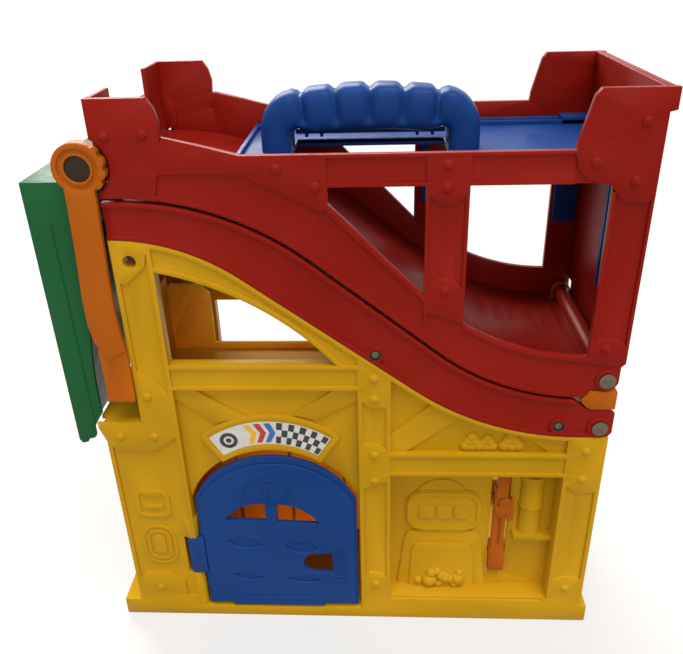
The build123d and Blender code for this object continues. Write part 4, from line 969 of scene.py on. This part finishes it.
def sign_patch(bm, along0, along1, across0, across1, level=1):
    steps = max(1, round((along1 - along0) * 40))
    places = [along0 + (along1 - along0) * i / steps for i in range(steps + 1)]
    low = [sign_point(along, across0) for along in places]
    high = [sign_point(along, across1) for along in places]
    printed_shape(bm, low + high[::-1], level)


class GARAGE_OT_sign(bpy.types.Operator):
    """Build the printed sign over the door from plain shapes"""
    bl_idname = "garage.sign"
    bl_label = "Build Sign"

    def execute(self, context):
        settings = context.scene.toy_garage_sign
        ink = film("sign dark ink", settings.ink)
        ground = bmesh.new()
        sign_patch(ground, 0.01, 0.99, 0.05, 0.95, level=0)
        self.print_on_sign("sign_film", ground, film("sign paper", settings.paper))

        chequers = bmesh.new()
        width = CHEQUERS_LENGTH / settings.columns
        height = CHEQUERS_HEIGHT / settings.rows
        for column in range(settings.columns):
            for row in range(column % 2, settings.rows, 2):
                along = CHEQUERS_START + width * column
                across = CHEQUERS_LOW + height * row
                sign_patch(chequers, along, along + width, across, across + height)
        self.print_on_sign("sign_chequers", chequers, ink)

        for name, colour, along in CHEVRONS:
            chevron = bmesh.new()
            printed_shape(chevron, [sign_point(along + a, b) for a, b in CHEVRON_SHAPE])
            self.print_on_sign(name, chevron, film(name.replace("_", " ") + " ink", colour))

        wheel = bmesh.new()
        x, z = sign_point(*WHEEL_PLACE)
        outer = ellipse(x, z, TYRE_RADIUS, TYRE_RADIUS, 36)
        inner = ellipse(x, z, TYRE_INSIDE, TYRE_INSIDE, 36)
        for i in range(len(outer)):
            j = (i + 1) % len(outer)
            printed_shape(wheel, [outer[i], outer[j], inner[j], inner[i]])
        printed_shape(wheel, ellipse(x, z, HUB_RADIUS, HUB_RADIUS, 36))
        bmesh.ops.remove_doubles(wheel, verts=wheel.verts, dist=0.000001)
        self.print_on_sign("sign_wheel", wheel, ink)
        return {"FINISHED"}

    @staticmethod
    def print_on_sign(name, bm, material):
        add_piece(name, bm, "base", material)


# Floor, light and camera

CAMERA_PLACE = (0.0241, -0.4811, 0.4723)
CAMERA_YAW, CAMERA_PITCH, CAMERA_ROLL = (math.radians(a) for a in (-3.55, 27.58, -1.86))
LIGHT_ANGLE = math.radians(38)
LIGHT_COLOUR = (1.0, 0.985, 0.96)
ROOM_COLOUR = (1.0, 0.97, 0.92, 1)
WHITE = (1, 1, 1, 1)


def directly_seen(tree):
    """One for camera, glossy and transmission rays, and zero for those that light things."""
    path = tree.nodes.new("ShaderNodeLightPath")
    share = path.outputs["Is Camera Ray"]
    for ray in ("Is Glossy Ray", "Is Transmission Ray"):
        either = tree.nodes.new("ShaderNodeMath")
        either.operation = "MAXIMUM"
        tree.links.new(share, either.inputs[0])
        tree.links.new(path.outputs[ray], either.inputs[1])
        share = either.outputs[0]
    return share


def light_and_look(tree, light, look):
    """One shader for the rays that light things, and another for what is seen."""
    mix = tree.nodes.new("ShaderNodeMixShader")
    tree.links.new(directly_seen(tree), mix.inputs["Fac"])
    tree.links.new(light, mix.inputs[1])
    tree.links.new(look, mix.inputs[2])
    return mix.outputs["Shader"]


def build_floor(settings):
    bm = bmesh.new()
    half = settings.floor_size / 2
    bm.faces.new([bm.verts.new((x, y, 0)) for x, y in rectangle(-half, -half, half, half)])
    mesh = bpy.data.meshes.new("floor")
    bm.to_mesh(mesh)
    bm.free()
    floor = bpy.data.objects.new("floor", mesh)
    bpy.context.scene.collection.objects.link(floor)
    material, tree, shader = new_material("pale floor")
    shader.inputs["Base Color"].default_value = (*[settings.floor_grey] * 3, 1)
    shader.inputs["Roughness"].default_value = 0.9
    shader.inputs["Specular IOR Level"].default_value = 0.0
    lift = tree.nodes.new("ShaderNodeEmission")
    lift.inputs["Color"].default_value = WHITE
    lift.inputs["Strength"].default_value = settings.floor_lift
    lifted = tree.nodes.new("ShaderNodeAddShader")
    tree.links.new(shader.outputs["BSDF"], lifted.inputs[0])
    tree.links.new(lift.outputs["Emission"], lifted.inputs[1])
    seen = light_and_look(tree, shader.outputs["BSDF"], lifted.outputs["Shader"])
    tree.links.new(seen, tree.nodes["Material Output"].inputs["Surface"])
    mesh.materials.append(material)


def build_room(settings):
    world = bpy.data.worlds.new("soft studio")
    world.use_nodes = True
    bpy.context.scene.world = world
    tree = world.node_tree
    tree.nodes.clear()
    output = tree.nodes.new("ShaderNodeOutputWorld")
    backgrounds = []
    for colour, strength in ((ROOM_COLOUR, settings.sky_strength), (WHITE, 1.0)):
        background = tree.nodes.new("ShaderNodeBackground")
        background.inputs["Color"].default_value = colour
        background.inputs["Strength"].default_value = strength
        backgrounds.append(background.outputs["Background"])
    tree.links.new(light_and_look(tree, *backgrounds), output.inputs["Surface"])


def build_lights(settings):
    for name, comes_from, strength in (
            ("key light", (0.10, -0.30, 0.95), settings.key_strength),
            ("back light", (-0.30, 0.85, 0.58), settings.back_strength),
            ("front light", (0.15, -0.90, 0.40), settings.front_strength)):
        data = bpy.data.lights.new(name, "SUN")
        data.energy = strength
        data.angle = LIGHT_ANGLE
        data.color = LIGHT_COLOUR
        lamp = bpy.data.objects.new(name, data)
        lamp.rotation_euler = Vector(comes_from).to_track_quat("Z", "Y").to_euler()
        bpy.context.scene.collection.objects.link(lamp)


def build_camera(settings):
    flat = math.cos(CAMERA_PITCH)
    forward = Vector((math.sin(CAMERA_YAW) * flat, math.cos(CAMERA_YAW) * flat,
                      -math.sin(CAMERA_PITCH)))
    level = Vector((math.cos(CAMERA_YAW), -math.sin(CAMERA_YAW), 0))
    upright = level.cross(forward)
    right = math.cos(CAMERA_ROLL) * level + math.sin(CAMERA_ROLL) * upright
    up = -math.sin(CAMERA_ROLL) * level + math.cos(CAMERA_ROLL) * upright
    data = bpy.data.cameras.new("camera")
    data.lens = settings.lens
    data.sensor_width = 36
    data.clip_start = 0.01
    camera = bpy.data.objects.new("camera", data)
    turn = Matrix((right, up, -forward)).transposed()
    camera.matrix_world = Matrix.Translation(CAMERA_PLACE) @ turn.to_4x4()
    bpy.context.scene.collection.objects.link(camera)
    bpy.context.scene.camera = camera


class GARAGE_OT_stage(bpy.types.Operator):
    """Set up the floor, the soft lights and the camera"""
    bl_idname = "garage.stage"
    bl_label = "Build Stage"

    def execute(self, context):
        settings = context.scene.toy_garage_stage
        for build in (build_floor, build_room, build_lights, build_camera):
            build(settings)
        context.scene.view_settings.view_transform = "Standard"
        return {"FINISHED"}


class GARAGE_PT_panel(bpy.types.Panel):
    """Sidebar panel with the steps of the toy garage"""
    bl_idname = "GARAGE_PT_panel"
    bl_label = "Toy Garage"
    bl_space_type = "VIEW_3D"
    bl_region_type = "UI"
    bl_category = "Toy Garage"

    def draw(self, context):
        for operator in OPERATORS:
            self.layout.operator(operator.bl_idname)
        for attribute in SETTINGS:
            group = getattr(context.scene, attribute)
            box = self.layout.box()
            for prop in group.bl_rna.properties:
                if prop.identifier not in ("rna_type", "name"):
                    box.prop(group, prop.identifier)


SETTINGS = {
    "toy_garage_plastic": PlasticSettings,
    "toy_garage_handle": HandleSettings,
    "toy_garage_fasteners": FastenerSettings,
    "toy_garage_door": DoorSettings,
    "toy_garage_bushes": BushSettings,
    "toy_garage_sign": SignSettings,
    "toy_garage_stage": StageSettings,
}
OPERATORS = (
    GARAGE_OT_plastic, GARAGE_OT_handle, GARAGE_OT_plate, GARAGE_OT_end_walls,
    GARAGE_OT_hinge_lugs, GARAGE_OT_door, GARAGE_OT_rivets, GARAGE_OT_fasteners,
    GARAGE_OT_bushes, GARAGE_OT_sign, GARAGE_OT_stage,
)


def register():
    for attribute, group in SETTINGS.items():
        bpy.utils.register_class(group)
        setattr(bpy.types.Scene, attribute, PointerProperty(type=group))
    for operator in OPERATORS:
        bpy.utils.register_class(operator)
    bpy.utils.register_class(GARAGE_PT_panel)


def unregister():
    bpy.utils.unregister_class(GARAGE_PT_panel)
    for operator in reversed(OPERATORS):
        bpy.utils.unregister_class(operator)
    for attribute, group in reversed(SETTINGS.items()):
        delattr(bpy.types.Scene, attribute)
        bpy.utils.unregister_class(group)


def main():
    register()
    bpy.ops.garage.plastic()
    bpy.ops.garage.handle()
    bpy.ops.garage.plate()
    bpy.ops.garage.end_walls()
    bpy.ops.garage.hinge_lugs()
    bpy.ops.garage.door()
    bpy.ops.garage.rivets()
    bpy.ops.garage.fasteners()
    bpy.ops.garage.bushes()
    bpy.ops.garage.sign()
    bpy.ops.garage.stage()


if __name__ == "__main__":
    main()
